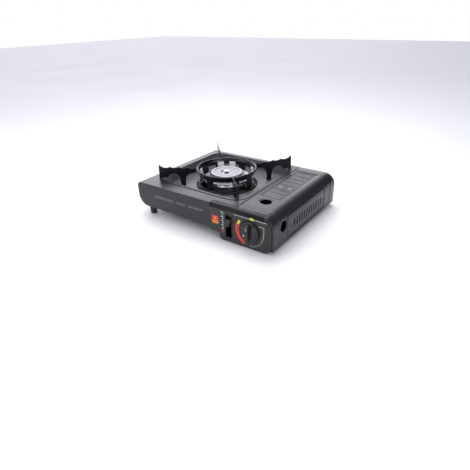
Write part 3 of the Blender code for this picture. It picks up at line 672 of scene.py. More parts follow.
def lidHeight(x, y, z):
    # how far the pressing stands out of the plain lid; y is counted from the lid's middle
    height = 0
    if x > right - 3 * mm:
        depth = insideBox(y, z, lidPress["panelY"], lidPress["panelZ"], 5 * mm)
        height -= lidPress["groove"] * (1 - smooth(0.6 * mm, 2.3 * mm, abs(depth)))
        hole = Vector((y - lidPress["sideHole"][0], z - lidPress["sideHole"][1])).length
        height -= 1.1 * mm * (1 - smooth(0, 3.5 * mm, hole - 11 * mm))
    if z > top - 6 * mm and x > seam + 6 * mm:
        hole = Vector((x - lidPress["fingerHole"][0], y - lidPress["fingerHole"][1])).length
        height -= 1.2 * mm * (1 - smooth(0, 4 * mm, hole - lidPress["holeRadius"]))
        field = insideBox(x, y, (seam + 5.5 * mm, right - 29 * mm), (-55 * mm, 108 * mm), 4 * mm)
        height -= lidPress["labelDepth"] * smooth(0, 1.5 * mm, field)
    bead = smooth(0.4 * mm, 1.5 * mm, abs(abs(y) - lidPress["beadY"]))
    return height - lidPress["beadDepth"] * (1 - bead)


def ventTree(values):
    # punches the row of slots, the round hole at each end, the side hole and the finger hole
    tree, given, end = geometryTree("ventPunch", values)
    take, sideways, deep = given.outputs, (0, pi / 2, 0), 12 * mm
    drill = cylinder(tree, 16, calc(tree, "MULTIPLY", take["Slot Width"], 0.5), deep)
    reach = calc(tree, "SUBTRACT", take["Slot Length"], take["Slot Width"])
    ends = [transformed(tree, drill, Rotation=sideways,
                        Translation=combined(tree, Z=calc(tree, "MULTIPLY", reach, half)))
            for half in (0.5, -0.5)]
    slot = addNode(tree, "GeometryNodeConvexHull", {"Geometry": joined(tree, *ends)}).outputs[0]
    pitch, span = combined(tree, Y=take["Slot Pitch"]), combined(tree, Y=take["End Span"])
    slots = instanced(tree, pointRow(tree, take["Slot Count"], take["First Slot"], pitch), slot)
    rounds = instanced(tree, pointRow(tree, 2, take["End Holes"], span), drill, sideways)
    big = cylinder(tree, 48, take["Hole Radius"], deep)
    finger = transformed(tree, big, Translation=take["Finger Hole"])
    side = transformed(tree, big, Translation=take["Side Hole"], Rotation=sideways,
                       Scale=(0.96, 0.96, 1))
    tools = joined(tree, slots, rounds, finger, side)
    closeTree(tree, given, end, punched(tree, take["Geometry"], tools))
    return tree


def buildLid():
    path = resample(lidPath(), 1.15 * mm)
    outward = normalsOf(path, 1)
    hem = 1.2 * mm
    span = lidHigh.y - lidLow.y
    inner = [lidLow.y + hem + (span - 2 * hem) * i / 190 for i in range(191)]
    start = [(lidLow.y + hem * (1 - cos(a)), hem * (1 - sin(a)))
             for a in (i / 4 * pi / 2 for i in range(4))]
    end = [(lidHigh.y - (y - lidLow.y), d) for y, d in reversed(start)]
    rows = start + [(y, 0) for y in inner] + end
    centre = (lidLow.y + lidHigh.y) / 2
    bm = bmesh.new()
    grid = []
    for y, drop in rows:
        line = []
        for (x, z), n in zip(path, outward):
            height = lidHeight(x, y - centre, z) if drop == 0 else 0
            line.append(bm.verts.new((x + n.x * (height - drop), y, z + n.y * (height - drop))))
        grid.append(line)
    joinRows(bm, grid)
    mesh = meshFrom("lidShell", bm)
    lid = linked("lidShell", mesh)
    facing = sum((p.normal.z for p in mesh.polygons if abs(p.center.z - top) < mm), 0)
    if facing < 0:
        mesh.flip_normals()
    withWall(lid, shell["wall"])
    press = lidPress
    values = {
        "Slot Count": press["slotCount"], "Slot Pitch": press["slotPitch"],
        "First Slot": (right, centre + press["firstSlot"], press["slotZ"]),
        "Slot Length": press["slotLength"], "Slot Width": press["slotWidth"],
        "End Holes": (right, centre + press["endHoles"][0], press["endHoles"][1]),
        "End Span": press["endSpan"],
        "Side Hole": (right, centre + press["sideHole"][0], press["sideHole"][1]),
        "Finger Hole": (press["fingerHole"][0], centre + press["fingerHole"][1], top),
        "Hole Radius": press["holeRadius"],
    }
    applyTree(lid, ventTree(values), values, paint, 28)
    place(lid, "lid", paint, "dark_paint", "lid")


# lines and frames of the label in millimetres from its corner: x from and to, y from and to
labelMarks = (
    (3, 42, 4, 5.2), (3, 42, 8, 9.2), (3, 34, 12, 13.2), (3, 42, 16, 17.2), (3, 28, 20, 21.2),
    (4, 19, 48, 49), (4, 19, 70, 71), (4, 5, 48, 71), (18, 19, 48, 71), (8, 15, 54, 64),
    (24, 40, 48, 49), (24, 40, 70, 71), (24, 25, 48, 71), (39, 40, 48, 71), (28, 36, 55, 63),
    (3, 42, 78, 79.2), (3, 42, 82, 83.2), (3, 30, 86, 87.2), (3, 42, 96, 97.2),
    (3, 42, 100, 101.2), (3, 36, 104, 105.2), (3, 42, 116, 117.2), (3, 42, 120, 121.2),
    (3, 24, 124, 125.2), (3, 42, 136, 137.2), (3, 40, 140, 141.2), (3, 32, 144, 145.2),
    (3, 40, 30, 31.2), (3, 42, 34, 35.2), (3, 22, 38, 39.2),
)


def buildLabel():
    # a plain instruction panel with no lettering
    middle = (lidLow.y + lidHigh.y) / 2
    x0, x1 = seam + 8 * mm, right - 32 * mm
    y0, y1 = middle - 52 * mm, middle + 104 * mm
    z = top - lidPress["labelDepth"]

    def flat(name, xRange, yRange, mat, high, corner=0.4 * mm):
        outline = roundedBox(xRange, yRange, corner, 3)
        made = extruded(name, outline, z - 0.05 * mm, z + high, "Z")
        return place(made, "lid", mat, "dark_paint")

    flat("labelSheet", (x0, x1), (y0, y1), inkGrey, 0.12 * mm, 2 * mm)
    for i, (a, b, c, d) in enumerate(labelMarks):
        flat(f"labelLine{i}", (x0 + a * mm, x0 + b * mm), (y0 + c * mm, y0 + d * mm), inkLabel,
             0.17 * mm)


buildLid()
buildLabel()
print("lid built")


# ---- punching and repeating with geometry nodes

def ringPunchTree():
    # a ring of rounded holes, pushed through along the tilted punch direction
    tree, given, end = geometryTree("ringPunch", {
        "Count": 8, "Radius": 0.03, "Start Angle": 0.0, "Centre": (0.0, 0.0, 0.0),
        "Width": 0.002, "Height": 0.002, "Corner": 0.001, "Depth": 0.01,
        "Tilt": (0.0, 0.0, 0.0),
    })
    take = given.outputs
    box = addNode(tree, "GeometryNodeCurvePrimitiveQuadrilateral",
                  {"Width": take["Width"], "Height": take["Height"]})
    rounded = addNode(tree, "GeometryNodeFilletCurve", {
        "Curve": box.outputs[0], "Radius": take["Corner"], "Limit Radius": True,
        "Count": 4}, mode="POLY")
    filled = addNode(tree, "GeometryNodeFillCurve", {"Curve": rounded.outputs[0]}, mode="NGONS")
    pushed = addNode(tree, "GeometryNodeExtrudeMesh", {
        "Mesh": filled.outputs[0], "Offset Scale": take["Depth"], "Individual": False})
    flipped = addNode(tree, "GeometryNodeFlipFaces", {"Mesh": filled.outputs[0]})
    both = joined(tree, pushed.outputs["Mesh"], flipped.outputs[0])
    sewn = addNode(tree, "GeometryNodeMergeByDistance", {"Geometry": both, "Distance": 0.00001})
    sunk = combined(tree, Z=calc(tree, "MULTIPLY", take["Depth"], -0.5))
    tool = transformed(tree, sewn.outputs[0], Translation=sunk)
    tool = transformed(tree, tool, Rotation=take["Tilt"])
    ring = addNode(tree, "GeometryNodeMeshCircle",
                   {"Vertices": take["Count"], "Radius": take["Radius"]})
    places = transformed(tree, ring.outputs[0], Translation=take["Centre"],
                         Rotation=combined(tree, Z=take["Start Angle"]))
    index = addNode(tree, "GeometryNodeInputIndex").outputs[0]
    angle = calc(tree, "MULTIPLY", index, calc(tree, "DIVIDE", 2 * pi, take["Count"]))
    facing = combined(tree, Z=calc(tree, "ADD", angle, take["Start Angle"]))
    tools = instanced(tree, places, tool, facing)
    closeTree(tree, given, end, punched(tree, take["Geometry"], tools))
    return tree


def rivetTree():
    # a domed head on every point, facing along the given tilt
    tree, given, end = geometryTree("domedHeads", {
        "Head Radius": 0.0025, "Head Height": 0.0009, "Tilt": (0.0, 0.0, 0.0)})
    take = given.outputs
    ball = addNode(tree, "GeometryNodeMeshUVSphere", {"Segments": 24, "Rings": 12, "Radius": 1.0})
    size = combined(tree, X=take["Head Radius"], Y=take["Head Radius"], Z=take["Head Height"])
    flat = transformed(tree, ball.outputs["Mesh"], Scale=size)
    dome = addNode(tree, "GeometryNodeSetShadeSmooth", {"Geometry": flat}).outputs[0]
    closeTree(tree, given, end, instanced(tree, take["Geometry"], dome, take["Tilt"]))
    return tree


def ribTree():
    # a straight row of rounded bars
    tree, given, end = geometryTree("ribRow", {
        "Count": 10, "First": (0.0, 0.0, 0.0), "Step": (0.0, 0.0, 0.0025),
        "Length": 0.008, "Thickness": 0.0008, "Tilt": (0.0, 0.0, 0.0)})
    take = given.outputs
    bar = cylinder(tree, 12, take["Thickness"], take["Length"])
    bar = transformed(tree, bar, Rotation=take["Tilt"])
    row = pointRow(tree, take["Count"], take["First"], take["Step"])
    closeTree(tree, given, end, instanced(tree, row, bar))
    return tree


ringPunch, domedHeads, ribRow = ringPunchTree(), rivetTree(), ribTree()


def heads(name, points, mat, body, slot, radius, height, tilt=(0.0, 0.0, 0.0)):
    values = {"Head Radius": radius, "Head Height": height, "Tilt": tilt}
    made = applyTree(pointsObject(name, points), domedHeads, values, mat)
    return place(made, body, mat, slot)


def ribs(name, count, first, step, length, thickness, tilt):
    values = {"Count": count, "First": first, "Step": step, "Length": length,
              "Thickness": thickness, "Tilt": tilt}
    return applyTree(pointsObject(name, [(0, 0, 0)]), ribRow, values, panelPlastic)


def punch(obj, mat, count, radius, start, height, size, corner, depth, radial):
    values = {
        "Count": count, "Radius": radius, "Start Angle": radians(start),
        "Centre": (burner.x, burner.y, height), "Width": size[0], "Height": size[1],
        "Corner": corner, "Depth": depth, "Tilt": (0.0, pi / 2, 0.0) if radial else (0.0, 0.0, 0.0),
    }
    return applyTree(obj, ringPunch, values, mat)


# ---- pan, collar and arms

panLook = {
    "flange": 114.5 * mm,
    "flangeCorner": 30 * mm,
    "mouth": 107.9 * mm,
    "mouthCorner": 24 * mm,
    "floorHalf": 101.5 * mm,
    "floorCorner": 19 * mm,
    "thick": 0.7 * mm,
    "roll": 0.7 * mm,        # bend radius at the mouth
    "lip": 0.3 * mm,         # and at the flange's edge
    "bend": 5 * mm,          # and between wall and floor
    "skin": 0.12 * mm,
}

# radii and heights in millimetres; heights count from the collar's foot
collarLook = {
    "foot": [(59.6, 0), (69.4, 0), (69.4, 0.9), (63, 0.9), (61.4, 1.3), (60.7, 2.4), (61.4, 20),
             (62.2, 30.4)],
    "rim": [(63.2, 81.6), (64.4, 82.9)] + arcPoints(65.3, 85.6, 2.3, -80, 150, 12)
           + [(62.4, 85.0), (61.2, 83.2), (60.4, 80.2)],
    "seat": [(61.6, 0.9), (69.3, 0.9), (69.3, 1.0), (68.6, 1.3), (62, 1.3)],
    "windows": ((-62, 20.5), (-19, 10)),      # middle and half width in degrees, four times over
    "windowHigh": 21 * mm,
    "clipAngles": (23, 50),
}


def squareSheet(name, rings, wall):
    # a skin through rounded squares about the burner, each (half width, corner, height)
    bm = bmesh.new()
    rows = [[bm.verts.new(v + burner) for v in roundedSquare(half, corner, z, 16)]
            for half, corner, z in rings]
    joinRows(bm, rows, True)
    mesh = meshFrom(name, bm)
    if sum(face.normal.z * face.area for face in mesh.polygons) < 0:
        mesh.flip_normals()
    return withWall(linked(name, mesh), wall)


def quarterBend(half, corner, z, radius, steps, last, into):
    # rings round a bend; into gives the ways that half width and height change
    angles = [radians(last * i / steps) for i in range(steps + 1)]
    along, rise = into
    return [(half + radius * along(a), corner, z + radius * rise(a)) for a in angles]


def buildPan():
    p = panLook
    high = panHigh.z
    floor = panLow.z + p["thick"]
    corner = p["mouthCorner"] + 1 * mm
    slope = p["floorHalf"] + p["bend"] - 0.2 * mm
    over = (lambda a: cos(a) - 1, lambda a: sin(a) - 1)
    down = (lambda a: 1 - sin(a), lambda a: cos(a) - 1)
    away = (lambda a: cos(a) - 1, lambda a: 1 - sin(a))
    rings = [(p["flange"], p["flangeCorner"], high - p["thick"])]
    rings += quarterBend(p["flange"], p["flangeCorner"], high, p["lip"], 3, 90, over)
    rings += quarterBend(p["mouth"], corner, high, p["roll"], 5, 90, down)
    rings += quarterBend(slope, p["floorCorner"] + 3 * mm, floor, p["bend"], 7, 90, away)
    for half, corner, lift in (
        (92, 30, 0), (82, 50, 0), (77, 77, 0), (73, 73, 0), (71, 71, 0), (64, 64, 0), (59, 59, 0),
        (57.4, 57.4, -0.2), (57, 57, -0.7),
    ):
        rings.append((half * mm, corner * mm, floor + lift * mm))
    pan = squareSheet("panShell", rings, p["thick"])
    place(pan, "pan_support", panEnamel, "black_enamel", "pan")

    # the flange takes the deck's finish, and the mouth's roll is covered by a dull black skin:
    # painted shade, a thin dark line along the recess's edge
    corner, skin = p["mouthCorner"] + 1 * mm, p["skin"]
    flange = squareSheet("panFlange", [
        (p["flange"] + skin, p["flangeCorner"], high - p["thick"]),
        (p["flange"] + skin, p["flangeCorner"], high - 0.2 * mm),
        (p["flange"] - 0.2 * mm, p["flangeCorner"], high + skin),
        (p["mouth"] + 1.5 * mm, corner, high + skin),
    ], skin / 2)
    place(flange, "pan_support", paint, "dark_paint")
    reach = p["roll"] + skin
    edge = [(p["mouth"] + 1.5 * mm, corner, high + skin)]
    edge += [(p["mouth"] + p["roll"] - reach * sin(a), corner, high + skin - reach * (1 - cos(a)))
             for a in (radians(18 * i) for i in range(6))]
    edge = squareSheet("panEdgePaintedShade", edge, skin / 2)
    place(edge, "pan_support", matt, "black_enamel")


def buildCollar():
    # a drum with windows, a rolled rim and a foot flange
    look, foot = collarLook, collarLow.z
    profile = [(r * mm, foot + z * mm) for r, z in look["foot"]] + inMm(look["rim"])
    profile += [(60.3 * mm, foot + 20 * mm), (59.6 * mm, foot + 3 * mm)]
    collar = turnedSolid("collarRing", profile, burner, 144)
    for middle, half in look["windows"]:
        size = (look["windowHigh"], 2 * 59 * mm * sin(radians(half)))
        punch(collar, enamel, 4, 61 * mm, middle, 64 * mm, size, 2.2 * mm, 16 * mm, True)
    withBevel(collar, 0.25 * mm, 1, 50)
    place(collar, "pan_support", enamel, "black_enamel", "collar")
    clips = []
    for i in range(8):
        middle = look["clipAngles"][i % 2] + 90 * (i // 2)
        outline = (arcPoints(0, 0, 59.9 * mm, middle - 7, middle + 7, 6)
                   + arcPoints(0, 0, 59.1 * mm, middle + 7, middle - 7, 6))
        outline = [tuple(burner.xy + Vector(p)) for p in outline]
        clips.append(extruded("clip", outline, 67 * mm, 80.4 * mm, "Z"))
    clips = merged("collarClips", clips)
    place(clips, "pan_support", zinc, "bright_steel")
    seat = [(r * mm, foot + z * mm) for r, z in look["seat"]]
    place(turnedSolid("collarSeat", seat, burner, 144), "pan_support", matt, "black_enamel")


# millimetres from the burner's axis, and heights above the table
armLook = {
    "inner": 68.2,
    "tip": 142.5,      # where the wavy top edge starts, next to the pointed end
    "high": 98.2,
    "drop": 7.8,       # how much lower the edge is at the collar
    "ripple": 1.3,
    "steps": 96,
}


def armOutline():
    look = armLook
    inner, foot = look["inner"], panLow.z / mm + 1
    feet = [(inner, 80), (83, 79.4), (88, 76), (90.6, 71), (92, 62), (92, foot), (103, foot),
            (103.5, 62)]
    window = arcPoints(118, 69, 13.4, 172, 12, 24)
    outer = [(134, 75.6), (142.2, 75.2), (143.6, 74.3), (149, 74.3), (148.6, 84), (148, 102.2),
             (147.4, 102.8), (144.6, 102.8), (144, 102.2), (143.2, 99.6)]
    wavy = []
    for i in range(look["steps"] + 1):
        t = i / look["steps"]
        ripple = look["ripple"] * (0.8 * cos(8 * pi * t) + 0.2 * cos(16 * pi * t))
        wavy.append((look["tip"] + (inner - look["tip"]) * t,
                     look["high"] - look["drop"] * t + ripple))
    return inMm(feet + window + outer + wavy)


def buildArms():
    places = {"arm_front_right": -45, "arm_back_right": 45, "arm_back_left": 135,
              "arm_front_left": 225}
    rivets = []
    floor = panLow.z / mm + 0.75
    for node, angle in places.items():
        arm = extruded(node + "_plate", armOutline(), -0.6 * mm, 0.6 * mm)
        pieces = [withBevel(arm, 0.2 * mm, 1, 60)]
        # foot tab, its upright flange, and the ear that rests on the deck
        for low, high in (
            ((92.2, 0.3, floor), (102.8, 9, floor + 1)),
            ((102, -0.4, floor + 0.2), (103, 8.6, floor + 15)),
            ((143.8, -7, 74.1), (148.6, 0.3, 75.1)),
        ):
            piece = cuboid("bracket", Vector(low) * mm, Vector(high) * mm)
            pieces.append(withBevel(piece, 0.3 * mm, 1))
        arm = merged(node + "_plate", pieces)
        turn = Matrix.Translation(burner) @ Matrix.Rotation(radians(angle), 4, "Z")
        arm.data.transform(turn)
        place(arm, "pan_support", enamel, "black_enamel", node)
        rivets += [turn @ (Vector(p) * mm) for p in ((97.5, 5, floor + 1), (146.2, -4, 75.1))]
    heads("armRivets", rivets, enamel, "pan_support", "black_enamel", 1.9 * mm, 0.8 * mm)
    seats = [burner + Vector((*p, collarLow.z + 0.9 * mm))
             for p in arcPoints(0, 0, 66.3 * mm, 22, 292, 3)]
    heads("collarRivets", seats, plated, "pan_support", "plated_steel", 1.8 * mm, 0.8 * mm)


buildPan()
buildCollar()
buildArms()
print("pan, collar and arms built")


# ---- burner

# radii and heights in millimetres
burnerLook = {
    "cap": [(3.4, 73.2), (9, 73.2), (12, 73.8), (14, 75.2), (35.1, 75.3), (35.3, 75.5)]
           + arcPoints(34.3, 77, 1, 0, 90, 5)
           + [(30.6, 78), (30, 77.8), (29.6, 77.1), (15.6, 77.1), (14, 77.2), (13, 76.6),
              (10.8, 74.7), (8.8, 74.1), (3.4, 74.1)],
    "capHigh": 78,
    "holes": ((17.4, 24), (20.8, 30), (24.2, 36), (27.6, 42)),
    "ring": [(31.5, 64.3), (36.3, 64.3), (36.5, 64.6), (36.5, 65.4), (34.4, 66.8), (34, 67.4),
             (34, 74.6), (33.7, 75), (31, 75), (31, 66)],
    "bowl": [(36.2, 53.2), (40, 53.2), (45.6, 53.5), (48.6, 54.6), (49.6, 56.4), (49.7, 57.6),
             (50.5, 58.6), (50.5, 60.0), (49.8, 61.0), (49.9, 62.2), (50.9, 63.2), (51.0, 64.8),
             (51.9, 65.4), (52.1, 66.1), (51.6, 66.5), (51.0, 66.4), (50.2, 65.6), (50.2, 63.6),
             (49.1, 62.5), (49.0, 60.8), (49.7, 59.8), (49.7, 58.9), (48.9, 57.8), (48.8, 56.6),
             (48.1, 55.4), (45.4, 54.3), (36.2, 54)],
}


def buildBurner():
    look = burnerLook
    disc = turnedSolid("burnerCapDisc", inMm(look["cap"]), burner, 144)
    for radius, count in look["holes"]:
        punch(disc, capMetal, count, radius * mm, count, look["capHigh"] * mm, (2 * mm, 2 * mm),
              1 * mm, 9 * mm, False)
    place(disc, "body", capMetal, "bright_steel", "burner_cap")
    ring = turnedSolid("burnerRingPorts", inMm(look["ring"]), burner, 120)
    punch(ring, ringMetal, 48, 33 * mm, 0, 71 * mm, (3.4 * mm, 1.3 * mm), 0.6 * mm, 9 * mm, True)
    place(ring, "body", ringMetal, "brass", "burner_ring")
    bowl = turnedSolid("dripBowlDish", inMm(look["bowl"]), burner, 144)
    place(bowl, "body", bright, "bright_steel", "drip_bowl")

    low, high = (corner.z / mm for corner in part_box("cap_screw"))
    head = [(0, low), (3.2, low), (3.2, 74.3), (5.4, 74.3), (5.4, 75.1)]
    head += arcPoints(0, 73.4, 5.4, 14, 58, 5)
    head = [(r, min(z, high)) for r, z in head] + [(0, high)]
    screw = turnedSolid("capScrewHead", inMm(head), burner, 40)
    cross = [cuboid("slot", burner + Vector((-x, -y, high - 1.4)) * mm,
                    burner + Vector((x, y, high + 1)) * mm) for x, y in ((3, 0.55), (0.55, 3))]
    carve(screw, *cross)
    # the screw head takes the darker steel: painted shade in the hollow at the cap's middle
    place(screw, "body", steelPaintedShade, "bright_steel", "cap_screw")


buildBurner()
print("burner built")


# ---- control panel

face = panelLow.y
knobAt = spanOf("knob")[2]
slotSize = ((67 * mm, 81 * mm), (11 * mm, 58 * mm), 1.5 * mm)


def panelOutline():
    bottom = panelLow.z
    points = [(panelLow.x, floorZ - 3 * mm)]
    points += arcPoints(panelLow.x + 2 * mm, floorZ - 3 * mm, 2 * mm, 180, 270, 4)[1:]
    points += [(48.5 * mm, floorZ - 5 * mm)]
    points += arcPoints(48.5 * mm, floorZ - 8 * mm, 3 * mm, 90, 20, 4)[1:]
    points += [(53 * mm, bottom + 3.4 * mm), (54.6 * mm, bottom + 1 * mm), (57 * mm, bottom)]
    points += arcPoints(panelHigh.x - 15 * mm, bottom + 15 * mm, 15 * mm, 270, 360, 14)
    points += arcPoints(right - shell["lidRadius"], top - shell["lidRadius"], 21.5 * mm, 0, 57, 12)
    return points + [(panelLow.x, 66 * mm)]


def frameAround(name, xRange, zRange, corner, width, low, high):
    wide = [(a - width, b + width) for a, b in (xRange, zRange)]
    made = extruded(name, roundedBox(*wide, corner + width), low, high)
    return carve(made, extruded("inner", roundedBox(xRange, zRange, corner), low - mm, high + mm))


def buildPanel():
    plate = extruded("panelFace", panelOutline(), face, front + 0.7 * mm)
    withBevel(plate, 0.45 * mm, 2, 60)
    slot = extruded("slot", roundedBox(*slotSize), face - 9 * mm, face + 9 * mm)
    bore = turnedSolid("bore", inMm([(0, 0), (6, 0), (6, 20), (0, 20)]),
                       (knobAt.x, face - 9 * mm, knobAt.z), 36, (0, 1, 0))
    carve(plate, slot, bore)
    rim = frameAround("slotFrame", *slotSize, 1.4 * mm, face - 0.7 * mm, face + 0.3 * mm)
    withBevel(rim, 0.25 * mm, 2, 50)
    collar = inMm([(22.3, -0.1), (24, -0.1), (24, 0.5), (23.6, 0.9), (22.7, 0.9), (22.3, 0.5)])
    collar = turnedSolid("knobSurround", collar, (knobAt.x, face, knobAt.z), 96, (0, -1, 0))
    plate = merged("panelFace", [plate, rim, collar])
    place(plate, "body", panelPlastic, "panel_black", "control_panel")

    # the lip over the top edge, as an angle with a rounded corner
    r, wall, foot, end = 9 * mm, 1.6 * mm, 64 * mm, lipEnd - 0.35 * mm
    lip = [(face, foot)] + arcPoints(face + r, top - r, r, 180, 90, 12)
    lip += [(end, top), (end, top - wall)]
    lip += arcPoints(face + r, top - r, r - wall, 90, 180, 12) + [(face + wall, foot)]
    lip = extruded("panelLip", lip, panelLow.x + 0.2 * mm, panelHigh.x - 17 * mm, "X")
    withBevel(lip, 0.4 * mm, 2, 60)
    place(lip, "body", lipPlastic, "panel_black")

    bars = ribs("gripRibs", 18, (159.3 * mm, face, 13 * mm), (0.0, 0.0, 2.6 * mm), 8 * mm,
                0.55 * mm, (0.0, pi / 2, 0.0))
    place(bars, "body", panelPlastic, "panel_black")


def ink(name, outline, mat, thick=0.12 * mm):
    made = extruded(name, outline, face - thick, face + 0.1 * mm)
    return place(made, "body", mat, "panel_black")


def sector(inner, outer, start, end, steps=20):
    return (arcPoints(knobAt.x, knobAt.z, outer, start, end, steps)
            + arcPoints(knobAt.x, knobAt.z, inner, end, start, steps))


def strip(points, width):
    return moved(points, 1, width / 2) + list(reversed(moved(points, -1, width / 2)))


def around(x, z, rx, rz, steps):
    return [(x + rx * cos(a), z + rz * sin(a)) for a in (2 * pi * i / steps for i in range(steps))]


def buildMarks():
    # in millimetres over the panel; angles are counted round the knob
    ink("headLine", strip(inMm([(86, 63), (157, 63.4)]), 0.7 * mm), inkWhite)
    ink("headBadge", inMm(around(125.5, 63.3, 5, 2.9, 36)), inkYellow, 0.2 * mm)
    ink("powerArc", sector(24.8 * mm, 33 * mm, 247, 163), inkRed)
    ink("powerStart", sector(25.4 * mm, 30.5 * mm, 162, 143), inkYellow)
    for i, a in enumerate((227, 206, 185)):
        notch = sector(24.6 * mm, 33.2 * mm, a, a - 0.8, 2)
        ink(f"powerNotch{i}", notch, panelPlastic, 0.16 * mm)
    wedge = inMm([(137.5, 53), (151.5, 53.6), (151.5, 35), (148.5, 35)])
    ink("lowWedge", strip(wedge, 0.6 * mm), inkWhite)
    ink("lowArc", sector(28.8 * mm, 29.4 * mm, 353, 326), inkWhite)
    for i, (x, z) in enumerate(arcPoints(knobAt.x, knobAt.z, 30 * mm, 318, 274, 4)):
        ink(f"lowDot{i}", around(x, z, 0.9 * mm, 0.9 * mm, 12), inkWhite)
    for name, zRange, mat in (("warningTop", (40.6 * mm, 49.6 * mm), inkRed),
                              ("warningLow", (33 * mm, 39.8 * mm), inkOrange)):
        ink(name, roundedBox((35 * mm, 49.6 * mm), zRange, 0.8 * mm), mat)
    triangle = inMm([(38.6, 42.2), (46, 42.2), (42.3, 48.2)])
    ink("warningSign", triangle, inkOrange, 0.2 * mm)
    for i in range(3):
        bar = inMm([(37, 35 + 1.7 * i), (47.6, 35 + 1.7 * i)])
        ink(f"warningBar{i}", strip(bar, 0.5 * mm), inkRed, 0.2 * mm)
    for i, length in enumerate((6, 2.4, 5, 2.2, 4.4, 2.4, 5, 2.2, 4.4)):
        z = 60.4 - 4.3 * i
        ink(f"lockMark{i}", strip(inMm([(61.8 - length, z), (61.8, z)]), 1.5 * mm), inkWhite)
    ink("lockArrow", inMm([(58, 22), (62.4, 22), (60.2, 17.6)]), inkRed)


def buildFrontMarks():
    # three groups of upright bars stand in for the lettering on the front
    for i, (count, x) in enumerate(((15, -119), (6, -56), (10, -25))):
        bars = ribs(f"frontBars{i}", count, (x * mm, front + 0.42 * mm, 50.5 * mm),
                    (0.0037, 0.0, 0.0), 5.6 * mm, 0.55 * mm, (0.0, 0.0, 0.0))
        place(bars, "body", inkPale, "dark_paint")


buildPanel()
buildMarks()
buildFrontMarks()
print("panel built")


# ---- knob and lever

# in millimetres; the skirt's radii are counted from the knob's own
knobLook = {
    "skirt": [(-0.4, 0), (0, 0.5), (-0.3, 4.4)] + arcPoints(-1.6, 4.4, 1.3, 0, 90, 6)
             + [(-3, 5.7), (-3.4, 5.3), (-4.4, 5.3), (-4.9, 6.3)],
    "bore": 3.4,
    "barHalf": (4.5, 16.2),
    "barFoot": 4.6,
    "taper": 0.16,           # the bar narrows a little towards its tip
    "spot": (-8.6, -6.3, -8),
}


def buildKnob():
    look = knobLook
    low, high, _, r = spanOf("knob")
    seat, tip = high.y, low.y
    depth, bore, (wide, tall) = (seat - tip) / mm, look["bore"], look["barHalf"]
    skirt = [(bore, 0)] + [(r / mm + a, b) for a, b in look["skirt"]] + [(bore, 7)]
    knob = turnedSolid("knobTurned", inMm(skirt), (knobAt.x, seat, knobAt.z), 96, (0, -1, 0))
    bar = roundedBox((knobAt.x - wide * mm, knobAt.x + wide * mm),
                     (knobAt.z - tall * mm, knobAt.z + tall * mm), 4.4 * mm, 8)
    bar = extruded("bar", bar, tip, seat - look["barFoot"] * mm)
    for vertex in bar.data.vertices:
        narrow = look["taper"] * (seat - vertex.co.y) / (seat - tip)
        vertex.co.x = knobAt.x + (vertex.co.x - knobAt.x) * (1 - narrow)
    withBevel(bar, 1.1 * mm, 4, 50)
    carve(knob, bar, operation="UNION")
    hole = inMm([(0, 0), (bore, 0), (bore, depth - 2.8), (0, depth - 2.8)])
    carve(knob, turnedSolid("bore", hole, (knobAt.x, seat + 0.1 * mm, knobAt.z), 32, (0, -1, 0)))
    place(knob, "knob", knobPlastic, "knob_black", "knob")
    line = cuboid("knobLine", (knobAt.x - 0.6 * mm, tip, knobAt.z + 7 * mm),
                  (knobAt.x + 0.6 * mm, tip + 0.8 * mm, knobAt.z + 14 * mm))
    place(line, "knob", inkWhite, "knob_black")
    spot = Vector((knobAt.x, seat, knobAt.z)) + Vector(look["spot"]) * mm
    flame = turnedSolid("knobSpot", inMm([(0, 0), (2.3, 0), (2.3, 0.5), (0, 0.5)]), spot, 24,
                        (0, -1, 0))
    place(flame, "knob", inkWhite, "knob_black")


def buildLever():
    low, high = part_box("lock_lever")
    tip, shoulder, foot = low.y, high.y - 7.5 * mm, low.z
    nose = inMm([(2.4, 0.3), (1, 0.4), (0.1, 1.6), (0, 3)])
    outline = [(high.y, foot + 2 * mm), (shoulder, foot + 2 * mm)]
    outline += [(tip + y, foot + z) for y, z in nose]
    for i in range(1, 8):
        # a hollowed upper side with the thumb's ridges
        t = i / 8
        z = foot + 3 * mm + (high.z - foot - 3 * mm) * t - 1.4 * mm * sin(pi * t)
        outline.append((tip + (shoulder - tip) * t, z + (0.35 * mm if i % 2 else 0)))
    outline += [(shoulder, high.z), (high.y, high.z - 1 * mm)]
    lever = extruded("leverTip", outline, low.x, high.x, "X")
    withBevel(lever, 0.7 * mm, 3, 60)
    place(lever, "lever", leverPlastic, "lever_black", "lock_lever")


buildKnob()
buildLever()
print("knob and lever built")


# ---- gas path, lock and lid fittings

# in millimetres; the barrel's radii are counted from the regulator's own
valveLook = {
    "barrel": [(-0.8, 0), (0, 0.8), (0, 3.2), (-0.8, 4), (-0.8, 5), (0, 5.6), (0, 9),
               (-1.2, 10.4), (-1.2, 13.4), (-0.8, 14)] + arcPoints(-3.4, 14, 2.4, 0, 80, 6),
    "nose": [(11.6, 19.4), (10.8, 20.4), (10.8, 24)],
    "bore": [(4, 19), (0, 19), (0, 10), (3.4, 10)],
    "screws": (13.4, 16.6),              # circle's radius, and depth from the front
}


def buildValve():
    look = valveLook
    low, high, middle, r = spanOf("regulator")
    centre, end = Vector((middle.x, low.y, middle.z)), (high.y - low.y) / mm
    profile = [(3.4, 0)] + [(r / mm + a, b) for a, b in look["barrel"]] + look["nose"]
    profile += arcPoints(9.9, end - 1, 0.9, 0, 90, 4) + [(4.8, end), (4, end - 0.8)]
    valve = turnedSolid("valveBody", inMm(profile + look["bore"]), centre, 72, (0, 1, 0))
    place(valve, "body", cast, "cast_aluminium", "regulator")
    ring, depth = look["screws"]
    screws = [centre + Vector((x, depth, z)) * mm for x, z in arcPoints(0, 0, ring, 45, 315, 3)]
    heads("valveScrews", screws, plated, "body", "plated_steel", 1.9 * mm, 1.1 * mm,
          (pi / 2, 0.0, 0.0))


